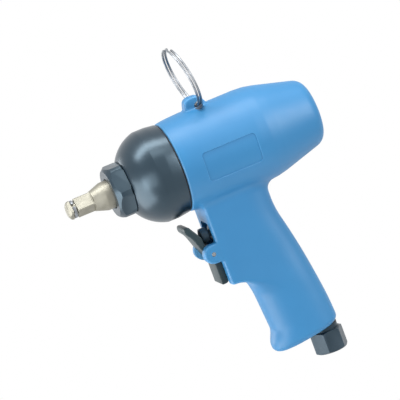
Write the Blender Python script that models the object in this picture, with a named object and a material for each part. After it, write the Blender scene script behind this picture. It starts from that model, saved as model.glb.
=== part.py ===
"""Pistol-grip air impact wrench with a 3/8 inch square drive.

X runs forward along the drive axis, Y to the tool's left and Z up. The origin is the centre of the drive's
end face, so every other piece lies at negative X. All lengths are in metres.
"""

import math

import bmesh
import bpy
from mathutils import Euler, Matrix, Vector

# Clearances
FIT = 0.0003
SEAT = 0.00015
WELD = 1e-7
CUT_PAST = 0.004

# Facets of turned bodies
LARGE_STEPS = 48
MEDIUM_STEPS = 28
SMALL_STEPS = 16
ARC_STEP = math.radians(18)

# Square drive and anvil
DRIVE_SQUARE = 0.009525
DRIVE_CORNER = 0.0008
DRIVE_LENGTH = 0.0172
DRIVE_CHAMFER = 0.0012
DRIVE_TURN = math.radians(37.7)
GROOVE_SETBACK = 0.003
GROOVE_WIDTH = 0.0023
GROOVE_RADIUS = 0.0046
RETAINER_THICKNESS = 0.0008
RETAINER_OPENING = math.radians(24)
ANVIL_RADIUS = 0.0091
ANVIL_CONE_LENGTH = 0.0068
JAW_WIDTH = 0.0072
JAW_ROOT_RADIUS = 0.0078
TAIL_RADIUS = 0.004

# Nose collar and hammer case
NOSE_REACH = 0.0294
COLLAR_LENGTH = 0.0111
COLLAR_FLATS = 0.032
COLLAR_CHAMFER = 0.0031
COLLAR_LAND_DROP = 0.0008
COLLAR_LIP = 0.0032
COLLAR_BORE_GAP = 0.0007
NOSE_TUBE_WALL = 0.0022
BUSH_WALL = 0.0028
CASE_LENGTH = 0.0308
CASE_STEP = 0.0004
CASE_BELL_DROP = 0.0123
CASE_BAND_LENGTH = 0.0142
CASE_BELL_BULGE = 0.0021
CASE_REAR_DROP = 0.0009
CASE_TAIL_WALL = 0.0029
CASE_FRONT_WALL = 0.0115
CASE_TAIL_LENGTH = 0.0095
GASKET_THICKNESS = 0.0005

# Barrel of the housing
BARREL_LENGTH = 0.0966
BARREL_RADIUS = 0.0303
BARREL_WALL = 0.0043
BARREL_FRONT_DROP = 0.0013
BARREL_SWELL_LENGTH = 0.016
BARREL_CONE_LENGTH = 0.0367
BARREL_CONE_DROP = 0.0102
BARREL_REAR_ROUND = 0.0085

# Nameplate recess on the left side
PLATE_SETBACK = 0.0136
PLATE_DROP = 0.0026
PLATE_LENGTH = 0.0365
PLATE_HEIGHT = 0.0198
PLATE_ROUND = 0.0026
PLATE_DEPTH = 0.0006

# Vane motor
CYLINDER_LENGTH = 0.036
CYLINDER_WALL = 0.0064
ROTOR_OFFSET = 0.0018
END_PLATE_THICKNESS = 0.009
BEARING_OUTER = 0.009
BEARING_WIDTH = 0.0055
SHAFT_RADIUS = 0.005
VANE_COUNT = 6
VANE_THICKNESS = 0.0016
VANE_DEPTH = 0.0066

# Twin hammer mechanism
CAGE_GAP = 0.0013
CAGE_REAR_PLATE = 0.0058
CAGE_FRONT_PLATE = 0.0035
CAGE_STRUT = 0.0039
HAMMER_WALL = 0.0049
CAGE_WINDOW = 0.0115
HAMMER_LENGTH = 0.0078
HAMMER_LOBE_WIDTH = 0.008
HAMMER_PIN_RADIUS = 0.0025

# Grip and trigger block, with drops measured down from the drive axis
GRIP_DROP = 0.1338
GRIP_BACK_SETBACK = 0.0466
GRIP_BACK_LEAN = 0.0335
GRIP_BACK_CURL = 0.015
GRIP_BACK_FLARE = 0.0032
GRIP_FLARE_HEIGHT = 0.018
GRIP_BACK_DEPTH = 0.019
GRIP_HALF_WIDTH = 0.0162
GRIP_FRONT_SETBACK = 0.0203
GRIP_FRONT_LEAN = 0.0046
GRIP_TOE = 0.004
GRIP_TOE_HEIGHT = 0.0155
GRIP_BOTTOM_ROUND = 0.0035
GRIP_HEEL_ROUND = 0.004
FOOT_SLOPE = 0.148
FOOT_HEIGHT = 0.045
BLOCK_SETBACK = 0.0067
BLOCK_DROP = 0.0803
BLOCK_UNDERSIDE = 0.008
BLOCK_HALF_WIDTH = 0.0148
BLOCK_EDGE = 0.0014
SIDE_FILLET = 0.009
BACK_FILLET = 0.006
FRONT_FILLET = 0.0016
FILLET_BITE = 0.00012
GRIP_POWER = 2.5
BLOCK_POWER = 24.0
LOOP_POINTS = 44
FILLET_RINGS = 5

# Trigger, its ears and its two valves
PIVOT_SETBACK = 0.0027
PIVOT_DROP = 0.0576
EAR_RADIUS = 0.0062
EAR_EDGE = 0.0013
PIN_RADIUS = 0.0013
SLOT_HALF_WIDTH = 0.0094
SLOT_DEPTH = 0.005
SLOT_TOP_DROP = 0.0392
SLOT_ROUND = 0.0045
TRIGGER_TOP = 0.0213
TRIGGER_BOTTOM = 0.0212
TRIGGER_TIP_REACH = 0.0118
TRIGGER_ARM = 0.0037
TRIGGER_PAD = 0.0024
TRIGGER_BACK = 0.0047
TRIGGER_LEDGE = 0.0036
TRIGGER_EDGE = 0.0007
VALVE_LEVER = 0.0106
VALVE_TRAVEL = 0.002
VALVE_BUSH_RADIUS = 0.0045
VALVE_BUSH_LENGTH = 0.011
VALVE_FLANGE_RADIUS = 0.005
FORWARD_FLANGE = 0.0032
REVERSE_FLANGE = 0.0008
FORWARD_HEAD = 0.0055
FORWARD_HEAD_RADIUS = 0.0049
REVERSE_HEAD = 0.0008
REVERSE_HEAD_RADIUS = 0.003
HEAD_DOME_RADIUS = 0.012
STEM_RADIUS = 0.0022
STEM_COLLAR = 0.0015
STEM_COLLAR_RADIUS = 0.0031
STEM_TAIL_RADIUS = 0.0012
STEM_TIP_GAP = 0.00035
SPRING_WIRE = 0.0007
SPRING_TURNS = 5
SPRING_LENGTH = 0.0092
CURL_POINTS = 8

# Air inlet and exhaust
INLET_SETBACK = 0.0558
INLET_SINK = 0.0012
INLET_HEX_FLATS = 0.019
INLET_HEX_LENGTH = 0.0139
INLET_HEX_TURN = math.radians(4)
INLET_HEX_CHAMFER = 0.0013
INLET_NECK_RADIUS = 0.0083
INLET_NECK_LENGTH = 0.0043
INLET_SHANK_RADIUS = 0.0062
INLET_SHANK_LENGTH = 0.0125
INLET_BORE = 0.0045
SCREEN_WALL = 0.0006
SCREEN_LENGTH = 0.009
SEAL_RING_WIRE = 0.0007
EXHAUST_SETBACK = 0.0365
EXHAUST_LENGTH = 0.015
EXHAUST_WIDTH = 0.015
EXHAUST_DEPTH = 0.012
EXHAUST_INSET = 0.0015
PASSAGE_RADIUS = 0.005
RISER_RADIUS = 0.0035

# Hang ring and its lug
LUG_SETBACK = 0.0283
LUG_HEIGHT = 0.0071
LUG_FRONT = 0.0088
LUG_REAR = 0.0058
LUG_THICKNESS = 0.0084
LUG_EDGE = 0.0012
LUG_HOLE = 0.0026
LUG_HOLE_RISE = 0.0006
RING_RADIUS = 0.0198
RING_WIRE = 0.0015
RING_WIRE_GAP = 0.00047
RING_CROSSING = math.radians(14)
RING_LEAN = math.radians(8.4)
RING_YAW = math.radians(3.3)
LOOP_STEPS = 24

# Stations along the drive axis
COLLAR_FRONT = -NOSE_REACH
CASE_FRONT = COLLAR_FRONT - COLLAR_LENGTH
CASE_REAR = CASE_FRONT - CASE_LENGTH
BAND_FRONT = CASE_REAR + CASE_BAND_LENGTH
GASKET_REAR = CASE_REAR - SEAT - GASKET_THICKNESS
HOUSING_FRONT = GASKET_REAR - SEAT
HOUSING_REAR = HOUSING_FRONT - BARREL_LENGTH
CASE_CAVITY_FRONT = CASE_FRONT - CASE_FRONT_WALL
CASE_TAIL_REAR = CASE_REAR - CASE_TAIL_LENGTH
FRONT_PLATE_FRONT = CASE_TAIL_REAR - FIT
FRONT_PLATE_REAR = FRONT_PLATE_FRONT - END_PLATE_THICKNESS
CYLINDER_FRONT = FRONT_PLATE_REAR - FIT
CYLINDER_REAR = CYLINDER_FRONT - CYLINDER_LENGTH
REAR_PLATE_FRONT = CYLINDER_REAR - FIT
REAR_PLATE_REAR = REAR_PLATE_FRONT - END_PLATE_THICKNESS
CAVITY_REAR = REAR_PLATE_REAR - FIT
CAGE_REAR = FRONT_PLATE_FRONT + FIT
CAGE_REAR_INNER = CAGE_REAR + CAGE_REAR_PLATE
CAGE_FRONT_INNER = CAGE_REAR_INNER + 2 * HAMMER_LENGTH + 3 * FIT
CAGE_FRONT = CAGE_FRONT_INNER + CAGE_FRONT_PLATE

# Radii that fit one another
CAVITY_RADIUS = BARREL_RADIUS - BARREL_WALL
MOTOR_RADIUS = CAVITY_RADIUS - FIT
CYLINDER_BORE = MOTOR_RADIUS - CYLINDER_WALL
ROTOR_RADIUS = CYLINDER_BORE - ROTOR_OFFSET - FIT
CASE_RADIUS = BARREL_RADIUS - CASE_STEP
CASE_SHOULDER_RADIUS = CASE_RADIUS - CASE_BELL_DROP
CASE_CAVITY_RADIUS = MOTOR_RADIUS - CASE_TAIL_WALL
CAGE_RADIUS = CASE_CAVITY_RADIUS - CAGE_GAP
HAMMER_RADIUS = CAGE_RADIUS - CAGE_STRUT - FIT
HAMMER_BORE = HAMMER_RADIUS - HAMMER_WALL
JAW_REACH = HAMMER_BORE - 2 * FIT
BUSH_BORE = ANVIL_RADIUS + FIT
BUSH_RADIUS = BUSH_BORE + BUSH_WALL
NOSE_BORE = BUSH_RADIUS + FIT
NOSE_TUBE_RADIUS = NOSE_BORE + NOSE_TUBE_WALL
BEARING_BORE = SHAFT_RADIUS + FIT
VALVE_BORE = STEM_COLLAR_RADIUS + FIT
RING_PITCH = RING_WIRE + RING_WIRE_GAP
TRIGGER_HALF_WIDTH = SLOT_HALF_WIDTH - FIT

# Places off the axis
BLOCK_FRONT = HOUSING_FRONT - BLOCK_SETBACK
SLOT_BACK = BLOCK_FRONT - SLOT_DEPTH
PIVOT = Vector((HOUSING_FRONT - PIVOT_SETBACK, 0, -PIVOT_DROP))
FORWARD_VALVE = -PIVOT_DROP + VALVE_LEVER
REVERSE_VALVE = -PIVOT_DROP - VALVE_LEVER
INLET_X = HOUSING_FRONT - INLET_SETBACK
EXHAUST_X = HOUSING_FRONT - EXHAUST_SETBACK
TOE_X = HOUSING_FRONT - GRIP_FRONT_SETBACK
LUG_HOLE_PLACE = Vector((HOUSING_FRONT - LUG_SETBACK, 0, BARREL_RADIUS + LUG_HOLE_RISE))

BLUE = ("blue_moulding", (0.068, 0.262, 0.552), 0.38, 0.0)
DARK_CASE = ("dark_case_paint", (0.045, 0.071, 0.085), 0.3, 0.35)
DARK_PLASTIC = ("trigger_plastic", (0.045, 0.065, 0.065), 0.42, 0.0)
NICKEL = ("nickel_steel", (0.58, 0.56, 0.47), 0.28, 1.0)
STEEL = ("ground_steel", (0.56, 0.57, 0.58), 0.3, 1.0)
SPRING_STEEL = ("bright_wire", (0.75, 0.76, 0.77), 0.15, 1.0)
BRONZE = ("sintered_bronze", (0.42, 0.27, 0.12), 0.45, 1.0)
INLET_PAINT = ("dark_inlet_paint", (0.04, 0.06, 0.075), 0.35, 0.4)
VALVE_PLASTIC = ("valve_plastic", (0.02, 0.027, 0.04), 0.45, 0.0)
RUBBER = ("seal_rubber", (0.015, 0.015, 0.015), 0.7, 0.0)
FIBRE = ("vane_fibre", (0.16, 0.09, 0.045), 0.6, 0.0)
POROUS = ("porous_muffler", (0.2, 0.2, 0.19), 0.95, 0.0)


def clear_scene():
    for obj in list(bpy.data.objects):
        bpy.data.objects.remove(obj, do_unlink=True)


def finish_of(finish):
    """The Principled material of a (name, colour, roughness, metallic) finish, made once."""
    name, colour, roughness, metallic = finish
    material = bpy.data.materials.get(name)
    if material:
        return material
    material = bpy.data.materials.new(name)
    material.use_nodes = True
    shader = material.node_tree.nodes["Principled BSDF"]
    shader.inputs["Base Color"].default_value = (*colour, 1.0)
    shader.inputs["Roughness"].default_value = roughness
    shader.inputs["Metallic"].default_value = metallic
    return material


def add_object(name, bm, finish=None, location=(0, 0, 0), rotation=(0, 0, 0)):
    """A mesh object from a bmesh, smooth except across sharp edges."""
    mesh = bpy.data.meshes.new(name)
    bm.to_mesh(mesh)
    bm.free()
    mesh.shade_smooth()
    mesh.set_sharp_from_angle(angle=math.radians(35))
    if finish:
        mesh.materials.append(finish_of(finish))
    obj = bpy.data.objects.new(name, mesh)
    obj.location = location
    obj.rotation_euler = rotation
    bpy.context.collection.objects.link(obj)
    return obj


def combine(target, other, operation):
    """Adds another object to the target, or cuts it away, and hides it."""
    modifier = target.modifiers.new(f"{operation.lower()}_{other.name}", "BOOLEAN")
    modifier.operation = operation
    modifier.solver = "EXACT"
    modifier.object = other
    other.hide_render = True
    other.display_type = "WIRE"


def join(target, other):
    combine(target, other, "UNION")


def cut(target, other):
    combine(target, other, "DIFFERENCE")


TURN_TO = {
    "X": Matrix.Identity(4),
    "Y": Matrix.Rotation(math.pi / 2, 4, "Z"),
    "Z": Matrix.Rotation(-math.pi / 2, 4, "Y"),
}


def turned(profile, steps=MEDIUM_STEPS, ring=False, axis="X"):
    """A body turned about an axis from (distance along it, radius) points."""
    bm = bmesh.new()
    verts = [bm.verts.new((along, 0, radius)) for along, radius in profile]
    ends = verts[1:] + verts[:1] if ring else verts[1:]
    edges = [bm.edges.new(pair) for pair in zip(verts, ends)]
    bmesh.ops.spin(
        bm,
        geom=verts + edges,
        cent=(0, 0, 0),
        axis=(1, 0, 0),
        angle=2 * math.pi,
        steps=steps,
        use_merge=True,
    )
    bmesh.ops.remove_doubles(bm, verts=bm.verts, dist=WELD)
    bmesh.ops.recalc_face_normals(bm, faces=bm.faces)
    bmesh.ops.transform(bm, matrix=TURN_TO[axis], verts=bm.verts)
    return bm


def rod(low, high, radius, steps=SMALL_STEPS, axis="X"):
    return turned([(low, 0), (low, radius), (high, radius), (high, 0)], steps, axis=axis)


def tube(low, high, bore, radius, steps=MEDIUM_STEPS, axis="X"):
    return turned([(low, bore), (low, radius), (high, radius), (high, bore)], steps, True, axis)


def arc(centre, radius, start, end, step=ARC_STEP):
    """Points on an arc, both ends included, angles from the first axis towards the second."""
    count = max(2, math.ceil(abs(end - start) / step))
    angles = [start + (end - start) * i / count for i in range(count + 1)]
    return [(centre[0] + radius * math.cos(a), centre[1] + radius * math.sin(a)) for a in angles]


def rounded(corners):
    """A closed outline through (a, b, radius) corners, each corner filleted with its radius."""
    outline = []
    neighbours = zip(corners[-1:] + corners[:-1], corners, corners[1:] + corners[:1])
    for before, here, after in neighbours:
        corner = Vector(here[:2])
        radius = here[2]
        inward = (Vector(before[:2]) - corner).normalized()
        outward = (Vector(after[:2]) - corner).normalized()
        half = inward.angle(outward) / 2
        centre = corner + (inward + outward).normalized() * radius / math.sin(half)
        first = corner + inward * radius / math.tan(half) - centre
        last = corner + outward * radius / math.tan(half) - centre
        start = math.atan2(first.y, first.x)
        turn = (math.atan2(last.y, last.x) - start + math.pi) % (2 * math.pi) - math.pi
        outline += arc(centre, radius, start, start + turn)
    return outline


def rounded_rectangle(low, high, radius):
    (a0, b0), (a1, b1) = low, high
    return rounded([(a0, b0, radius), (a1, b0, radius), (a1, b1, radius), (a0, b1, radius)])


PLANES = {
    "XZ": lambda a, b, depth: (a, depth, b),
    "YZ": lambda a, b, depth: (depth, a, b),
    "XY": lambda a, b, depth: (a, b, depth),
}


def prism(outline, low, high, plane="XZ", edge=0.0):
    """An outline drawn on a plane and extruded square to it, its two rims bevelled by edge."""
    place = PLANES[plane]
    bm = bmesh.new()
    face = bm.faces.new([bm.verts.new(place(a, b, low)) for a, b in outline])
    made = bmesh.ops.extrude_face_region(bm, geom=[face])["geom"]
    moved = [item for item in made if isinstance(item, bmesh.types.BMVert)]
    bmesh.ops.translate(bm, verts=moved, vec=place(0, 0, high - low))
    bmesh.ops.recalc_face_normals(bm, faces=bm.faces)
    if edge:
        sides = [f for f in bm.faces if len(f.verts) == 4]
        caps = [f for f in bm.faces if f not in sides]
        rims = [e for f in caps for e in f.edges]
        bmesh.ops.bevel(bm, geom=rims, offset=edge, segments=2, profile=0.5, affect="EDGES")
    return bm


def hexagon(flats):
    radius = flats / math.sqrt(3)
    return [
        (radius * math.cos(math.radians(60 * i)), radius * math.sin(math.radians(60 * i)))
        for i in range(6)
    ]


def least_gap(points, diameter, apart):
    """The least space between two stretches of a wire that lie at least apart points from each other."""
    nearest = min(
        (first - second).length
        for i, first in enumerate(points)
        for second in points[i + apart :]
    )
    return nearest - diameter


def wire(name, points, diameter, finish, location, rotation=(0, 0, 0)):
    """An unbroken round wire through points, with closed ends."""
    curve = bpy.data.curves.new(name, "CURVE")
    curve.dimensions = "3D"
    curve.bevel_depth = diameter / 2
    curve.bevel_resolution = 1
    curve.use_fill_caps = True
    spline = curve.splines.new("POLY")
    spline.points.add(len(points) - 1)
    for target, point in zip(spline.points, points):
        target.co = (*point, 1.0)
    curve.materials.append(finish_of(finish))
    obj = bpy.data.objects.new(name, curve)
    obj.location = location
    obj.rotation_euler = rotation
    bpy.context.collection.objects.link(obj)
    return obj


def build_anvil():
    """Output shaft: square drive with its groove, cone, bearing shaft, two jaws and a tail."""
    half = DRIVE_SQUARE / 2
    cone_front = -DRIVE_LENGTH
    cone_rear = cone_front - ANVIL_CONE_LENGTH
    jaw_front = CAGE_FRONT_INNER - FIT
    jaw_rear = CAGE_REAR_INNER + FIT
    tail_rear = CAGE_REAR_INNER - CAGE_REAR_PLATE / 2 + FIT
    shaft = turned(
        [
            (cone_front, 0),
            (cone_front, half - DRIVE_CORNER / 2),
            (cone_rear, ANVIL_RADIUS),
            (jaw_front, ANVIL_RADIUS),
            (jaw_front, JAW_ROOT_RADIUS),
            (jaw_rear, JAW_ROOT_RADIUS),
            (jaw_rear, TAIL_RADIUS),
            (tail_rear, TAIL_RADIUS),
            (tail_rear, 0),
        ]
    )
    anvil = add_object("anvil", shaft, NICKEL, rotation=(DRIVE_TURN, 0, 0))
    outline = rounded_rectangle((-half, -half), (half, half), DRIVE_CORNER)
    drive = add_object("drive_square", prism(outline, cone_rear, 0, "YZ"), rotation=anvil.rotation_euler)
    corner = DRIVE_SQUARE / math.sqrt(2) + FIT
    groove_rear = -GROOVE_SETBACK - GROOVE_WIDTH
    tip = turned(
        [
            (0, 0),
            (0, corner - 2 * DRIVE_CHAMFER),
            (-DRIVE_CHAMFER, corner - DRIVE_CHAMFER / 2),
            (-GROOVE_SETBACK, corner),
            (-GROOVE_SETBACK, GROOVE_RADIUS),
            (groove_rear, GROOVE_RADIUS),
            (groove_rear, corner),
            (cone_rear - CUT_PAST, corner),
            (cone_rear - CUT_PAST, 0),
        ]
    )
    combine(drive, add_object("drive_tip_turning", tip), "INTERSECT")
    join(anvil, drive)
    bar = rounded_rectangle((-JAW_WIDTH / 2, -JAW_REACH), (JAW_WIDTH / 2, JAW_REACH), JAW_WIDTH / 4)
    jaws = prism(bar, jaw_rear, jaw_front, "YZ")
    join(anvil, add_object("anvil_jaws", jaws))
    return anvil


def build_retainer_ring():
    """Split ring lying in the groove of the square drive."""
    inner = GROOVE_RADIUS + FIT
    outer = inner + RETAINER_THICKNESS
    start = RETAINER_OPENING / 2
    end = 2 * math.pi - start
    outline = arc((0, 0), outer, start, end) + arc((0, 0), inner, end, start)
    rear = -GROOVE_SETBACK - GROOVE_WIDTH + FIT
    ring = prism(outline, rear, -GROOVE_SETBACK - FIT, "YZ")
    return add_object("socket_retainer_ring", ring, SPRING_STEEL, rotation=(DRIVE_TURN, 0, 0))


def build_collar():
    """Hexagon collar with turned corners, a bore over the nose tube and a lip in front of the bush."""
    rear = CASE_FRONT + FIT
    flat = COLLAR_FLATS / 2
    land = COLLAR_FLATS / math.sqrt(3) - COLLAR_LAND_DROP
    hexagon_outline = hexagon(COLLAR_FLATS)
    collar = add_object("nose_collar", prism(hexagon_outline, rear, COLLAR_FRONT, "YZ"), DARK_CASE)
    envelope = turned(
        [
            (rear, 0),
            (rear, land - COLLAR_CHAMFER / 4),
            (rear + COLLAR_CHAMFER / 4, land),
            (COLLAR_FRONT - COLLAR_CHAMFER, land),
            (COLLAR_FRONT, flat - COLLAR_CHAMFER / 6),
            (COLLAR_FRONT, 0),
        ],
        LARGE_STEPS,
    )
    combine(collar, add_object("collar_envelope", envelope), "INTERSECT")
    lip_rear = COLLAR_FRONT - COLLAR_LIP
    bore = ANVIL_RADIUS + COLLAR_BORE_GAP
    seat = NOSE_TUBE_RADIUS + FIT
    hollow = turned(
        [
            (rear - CUT_PAST, 0),
            (rear - CUT_PAST, seat),
            (lip_rear, seat),
            (lip_rear, bore),
            (COLLAR_FRONT + CUT_PAST, bore),
            (COLLAR_FRONT + CUT_PAST, 0),
        ]
    )
    cut(collar, add_object("collar_hollow", hollow))
    return collar


def bell_outline():
    """Bulged line of the case from its front shoulder back to the band, as (x, radius) points."""
    front = Vector((CASE_FRONT, CASE_SHOULDER_RADIUS))
    rear = Vector((BAND_FRONT, CASE_RADIUS))
    chord = rear - front
    radius = (chord.length**2 / 4 + CASE_BELL_BULGE**2) / (2 * CASE_BELL_BULGE)
    outward = Vector((chord.y, -chord.x)).normalized()
    middle = (front + rear) / 2
    centre = middle - outward * (radius - CASE_BELL_BULGE)
    start = math.atan2(front.y - centre.y, front.x - centre.x)
    end = math.atan2(rear.y - centre.y, rear.x - centre.x)
    return arc(centre, radius, start, end, ARC_STEP / 3)


def build_case():
    """Bell-shaped hammer case with a nose tube in front and a tail that enters the barrel."""
    tube_front = COLLAR_FRONT - COLLAR_LIP - FIT
    rear_radius = CASE_RADIUS - CASE_REAR_DROP
    profile = [
        (tube_front, NOSE_BORE),
        (tube_front, NOSE_TUBE_RADIUS),
        (CASE_FRONT, NOSE_TUBE_RADIUS),
        *bell_outline(),
        ((BAND_FRONT + CASE_REAR) / 2, CASE_RADIUS),
        (CASE_REAR, rear_radius),
        (CASE_REAR, MOTOR_RADIUS),
        (CASE_TAIL_REAR, MOTOR_RADIUS),
        (CASE_TAIL_REAR, CASE_CAVITY_RADIUS),
        (CASE_CAVITY_FRONT, CASE_CAVITY_RADIUS),
        (CASE_CAVITY_FRONT, NOSE_BORE),
    ]
    return add_object("hammer_case", turned(profile, LARGE_STEPS, ring=True), DARK_CASE)


def build_nose_bush():
    front = COLLAR_FRONT - COLLAR_LIP - FIT
    bush = tube(CASE_CAVITY_FRONT, front, BUSH_BORE, BUSH_RADIUS)
    return add_object("anvil_bush", bush, BRONZE)


def build_gasket():
    outer = BARREL_RADIUS - BARREL_FRONT_DROP - FIT
    gasket = tube(GASKET_REAR, CASE_REAR - SEAT, CAVITY_RADIUS + FIT, outer, LARGE_STEPS)
    return add_object("case_gasket", gasket, RUBBER)


def build_motor_cylinder():
    """Liner of the vane motor, its bore set above the rotor axis."""
    tube_body = rod(CYLINDER_REAR, CYLINDER_FRONT, MOTOR_RADIUS, LARGE_STEPS)
    liner = add_object("motor_cylinder", tube_body, STEEL)
    bore = rod(CYLINDER_REAR - CUT_PAST, CYLINDER_FRONT + CUT_PAST, CYLINDER_BORE, LARGE_STEPS)
    cut(liner, add_object("cylinder_bore", bore, location=(0, 0, ROTOR_OFFSET)))
    return liner


def build_end_plate(name, inner, outer):
    """Plate closing one end of the cylinder; its bearing pocket opens away from the rotor."""
    outward = math.copysign(1, outer - inner)
    pocket_floor = outer - outward * (BEARING_WIDTH + FIT)
    pocket = BEARING_OUTER + FIT
    hole = SHAFT_RADIUS + 2 * FIT
    profile = [
        (inner, hole),
        (inner, MOTOR_RADIUS),
        (outer, MOTOR_RADIUS),
        (outer, pocket),
        (pocket_floor, pocket),
        (pocket_floor, hole),
    ]
    return add_object(name, turned(profile, LARGE_STEPS, ring=True), STEEL)


def build_bearing(name, outer_face, outward):
    inner_face = outer_face - outward * BEARING_WIDTH
    low, high = sorted((inner_face, outer_face))
    return add_object(name, tube(low, high, BEARING_BORE, BEARING_OUTER), STEEL)


def build_rotor():
    """Rotor with its vane slots, a rear journal and a front journal that drives the hammer cage."""
    slot_half = VANE_THICKNESS / 2 + FIT
    slot_floor = ROTOR_RADIUS - VANE_DEPTH - 2 * FIT
    half_angle = math.asin(slot_half / ROTOR_RADIUS)
    outline = []
    for i in range(VANE_COUNT):
        middle = 2 * math.pi * i / VANE_COUNT
        across = Vector((-math.sin(middle), math.cos(middle)))
        floor = Vector((math.cos(middle), math.sin(middle))) * slot_floor
        outline.append(tuple(floor - across * slot_half))
        outline.append(tuple(floor + across * slot_half))
        following = middle + 2 * math.pi / VANE_COUNT
        outline += arc((0, 0), ROTOR_RADIUS, middle + half_angle, following - half_angle, ARC_STEP)
    low = CYLINDER_REAR + FIT
    high = CYLINDER_FRONT - FIT
    rotor = add_object("rotor", prism(outline, low, high, "YZ"), STEEL)
    spline_front = CAGE_REAR_INNER - CAGE_REAR_PLATE / 2 - FIT
    journals = rod(REAR_PLATE_REAR + FIT, spline_front, SHAFT_RADIUS)
    join(rotor, add_object("rotor_journals", journals))
    return rotor


def build_vanes():
    low = CYLINDER_REAR + FIT
    high = CYLINDER_FRONT - FIT
    half = VANE_THICKNESS / 2
    inner = ROTOR_RADIUS - VANE_DEPTH - FIT
    tip = ROTOR_RADIUS - FIT
    square_end = half / 4
    outline = rounded(
        [(inner, -half, square_end), (tip, -half, half), (tip, half, half), (inner, half, square_end)]
    )
    for i in range(VANE_COUNT):
        turn = 2 * math.pi * i / VANE_COUNT
        vane = prism(outline, low, high, "YZ")
        add_object(f"rotor_vane_{i + 1}", vane, FIBRE, rotation=(turn, 0, 0))


def build_cage():
    """Hammer cage: two plates and two struts, with holes for the hammer pins."""
    drum = [
        (CAGE_REAR, SHAFT_RADIUS + FIT),
        (CAGE_REAR, CAGE_RADIUS),
        (CAGE_FRONT, CAGE_RADIUS),
        (CAGE_FRONT, ANVIL_RADIUS + FIT),
        (CAGE_FRONT_INNER, ANVIL_RADIUS + FIT),
        (CAGE_FRONT_INNER, HAMMER_RADIUS + FIT),
        (CAGE_REAR_INNER, HAMMER_RADIUS + FIT),
        (CAGE_REAR_INNER, SHAFT_RADIUS + FIT),
    ]
    cage = add_object("hammer_cage", turned(drum, LARGE_STEPS, ring=True), STEEL)
    reach = CAGE_RADIUS + CUT_PAST
    window = [(-reach, -CAGE_WINDOW), (reach, -CAGE_WINDOW), (reach, CAGE_WINDOW), (-reach, CAGE_WINDOW)]
    opening = prism(window, CAGE_REAR_INNER, CAGE_FRONT_INNER, "YZ")
    cut(cage, add_object("cage_window", opening))
    for side in (1, -1):
        hole = rod(CAGE_REAR - CUT_PAST, CAGE_FRONT + CUT_PAST, HAMMER_PIN_RADIUS + FIT)
        place = (0, side * HAMMER_RADIUS, 0)
        cut(cage, add_object(f"cage_pin_hole_{side}", hole, location=place))
    return cage


def build_hammers():
    """Two ring hammers, each with one striking lobe, notched for the two pins they rock on."""
    lobe_floor = JAW_ROOT_RADIUS + 2 * FIT
    lobe_half = HAMMER_LOBE_WIDTH / 2
    for i, side in enumerate((1, -1)):
        high = CAGE_FRONT_INNER - FIT - i * (HAMMER_LENGTH + FIT)
        low = high - HAMMER_LENGTH
        ring = tube(low, high, HAMMER_BORE, HAMMER_RADIUS)
        hammer = add_object(f"hammer_{i + 1}", ring, STEEL)
        root = (HAMMER_BORE + HAMMER_RADIUS) / 2
        bar = rounded_rectangle((lobe_floor, -lobe_half), (root, lobe_half), lobe_half / 4)
        lobe = prism([(side * a, b) for a, b in bar], low, high, "YZ")
        join(hammer, add_object(f"hammer_lobe_{i + 1}", lobe))
        for pin_side in (1, -1):
            notch = rod(low - CUT_PAST, high + CUT_PAST, HAMMER_PIN_RADIUS + FIT)
            place = (0, pin_side * HAMMER_RADIUS, 0)
            cut(hammer, add_object(f"hammer_{i + 1}_notch_{pin_side}", notch, location=place))


def build_hammer_pins():
    for i, side in enumerate((1, -1)):
        pin = rod(CAGE_REAR + FIT, CAGE_FRONT - FIT, HAMMER_PIN_RADIUS)
        add_object(f"hammer_pin_{i + 1}", pin, STEEL, location=(0, side * HAMMER_RADIUS, 0))


def barrel_outline():
    """Outer line of the barrel from its front edge to the middle of its rounded rear end."""
    swell_rear = HOUSING_FRONT - BARREL_SWELL_LENGTH
    cone_front = HOUSING_REAR + BARREL_CONE_LENGTH
    corner = Vector((HOUSING_REAR, BARREL_RADIUS - BARREL_CONE_DROP))
    along_cone = Vector((cone_front, BARREL_RADIUS)) - corner
    half = (math.pi / 2 + math.atan2(BARREL_CONE_DROP, BARREL_CONE_LENGTH)) / 2
    shorten = BARREL_REAR_ROUND / math.tan(half)
    start = corner + along_cone.normalized() * shorten
    centre = Vector((HOUSING_REAR + BARREL_REAR_ROUND, corner.y - shorten))
    first = math.atan2(start.y - centre.y, start.x - centre.x)
    return [
        (HOUSING_FRONT, 0),
        (HOUSING_FRONT, BARREL_RADIUS - BARREL_FRONT_DROP),
        (HOUSING_FRONT - BARREL_SWELL_LENGTH / 3, BARREL_RADIUS - BARREL_FRONT_DROP / 2.5),
        (swell_rear, BARREL_RADIUS),
        (cone_front + BARREL_CONE_LENGTH / 6, BARREL_RADIUS),
        (cone_front, BARREL_RADIUS - BARREL_CONE_DROP / 24),
        (cone_front - BARREL_CONE_LENGTH / 6, BARREL_RADIUS - BARREL_CONE_DROP / 6),
        *arc(centre, BARREL_REAR_ROUND, first, math.pi, ARC_STEP / 2),
        (HOUSING_REAR, 0),
    ]


def smooth(value):
    """Eases from 0 to 1 as value goes from 0 to 1."""
    value = min(max(value, 0.0), 1.0)
    return value * value * (3 - 2 * value)


def foot_level(x):
    """Z of the sloping foot of the grip, which rises towards the heel."""
    return FOOT_SLOPE * (TOE_X - x) - GRIP_DROP


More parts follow.
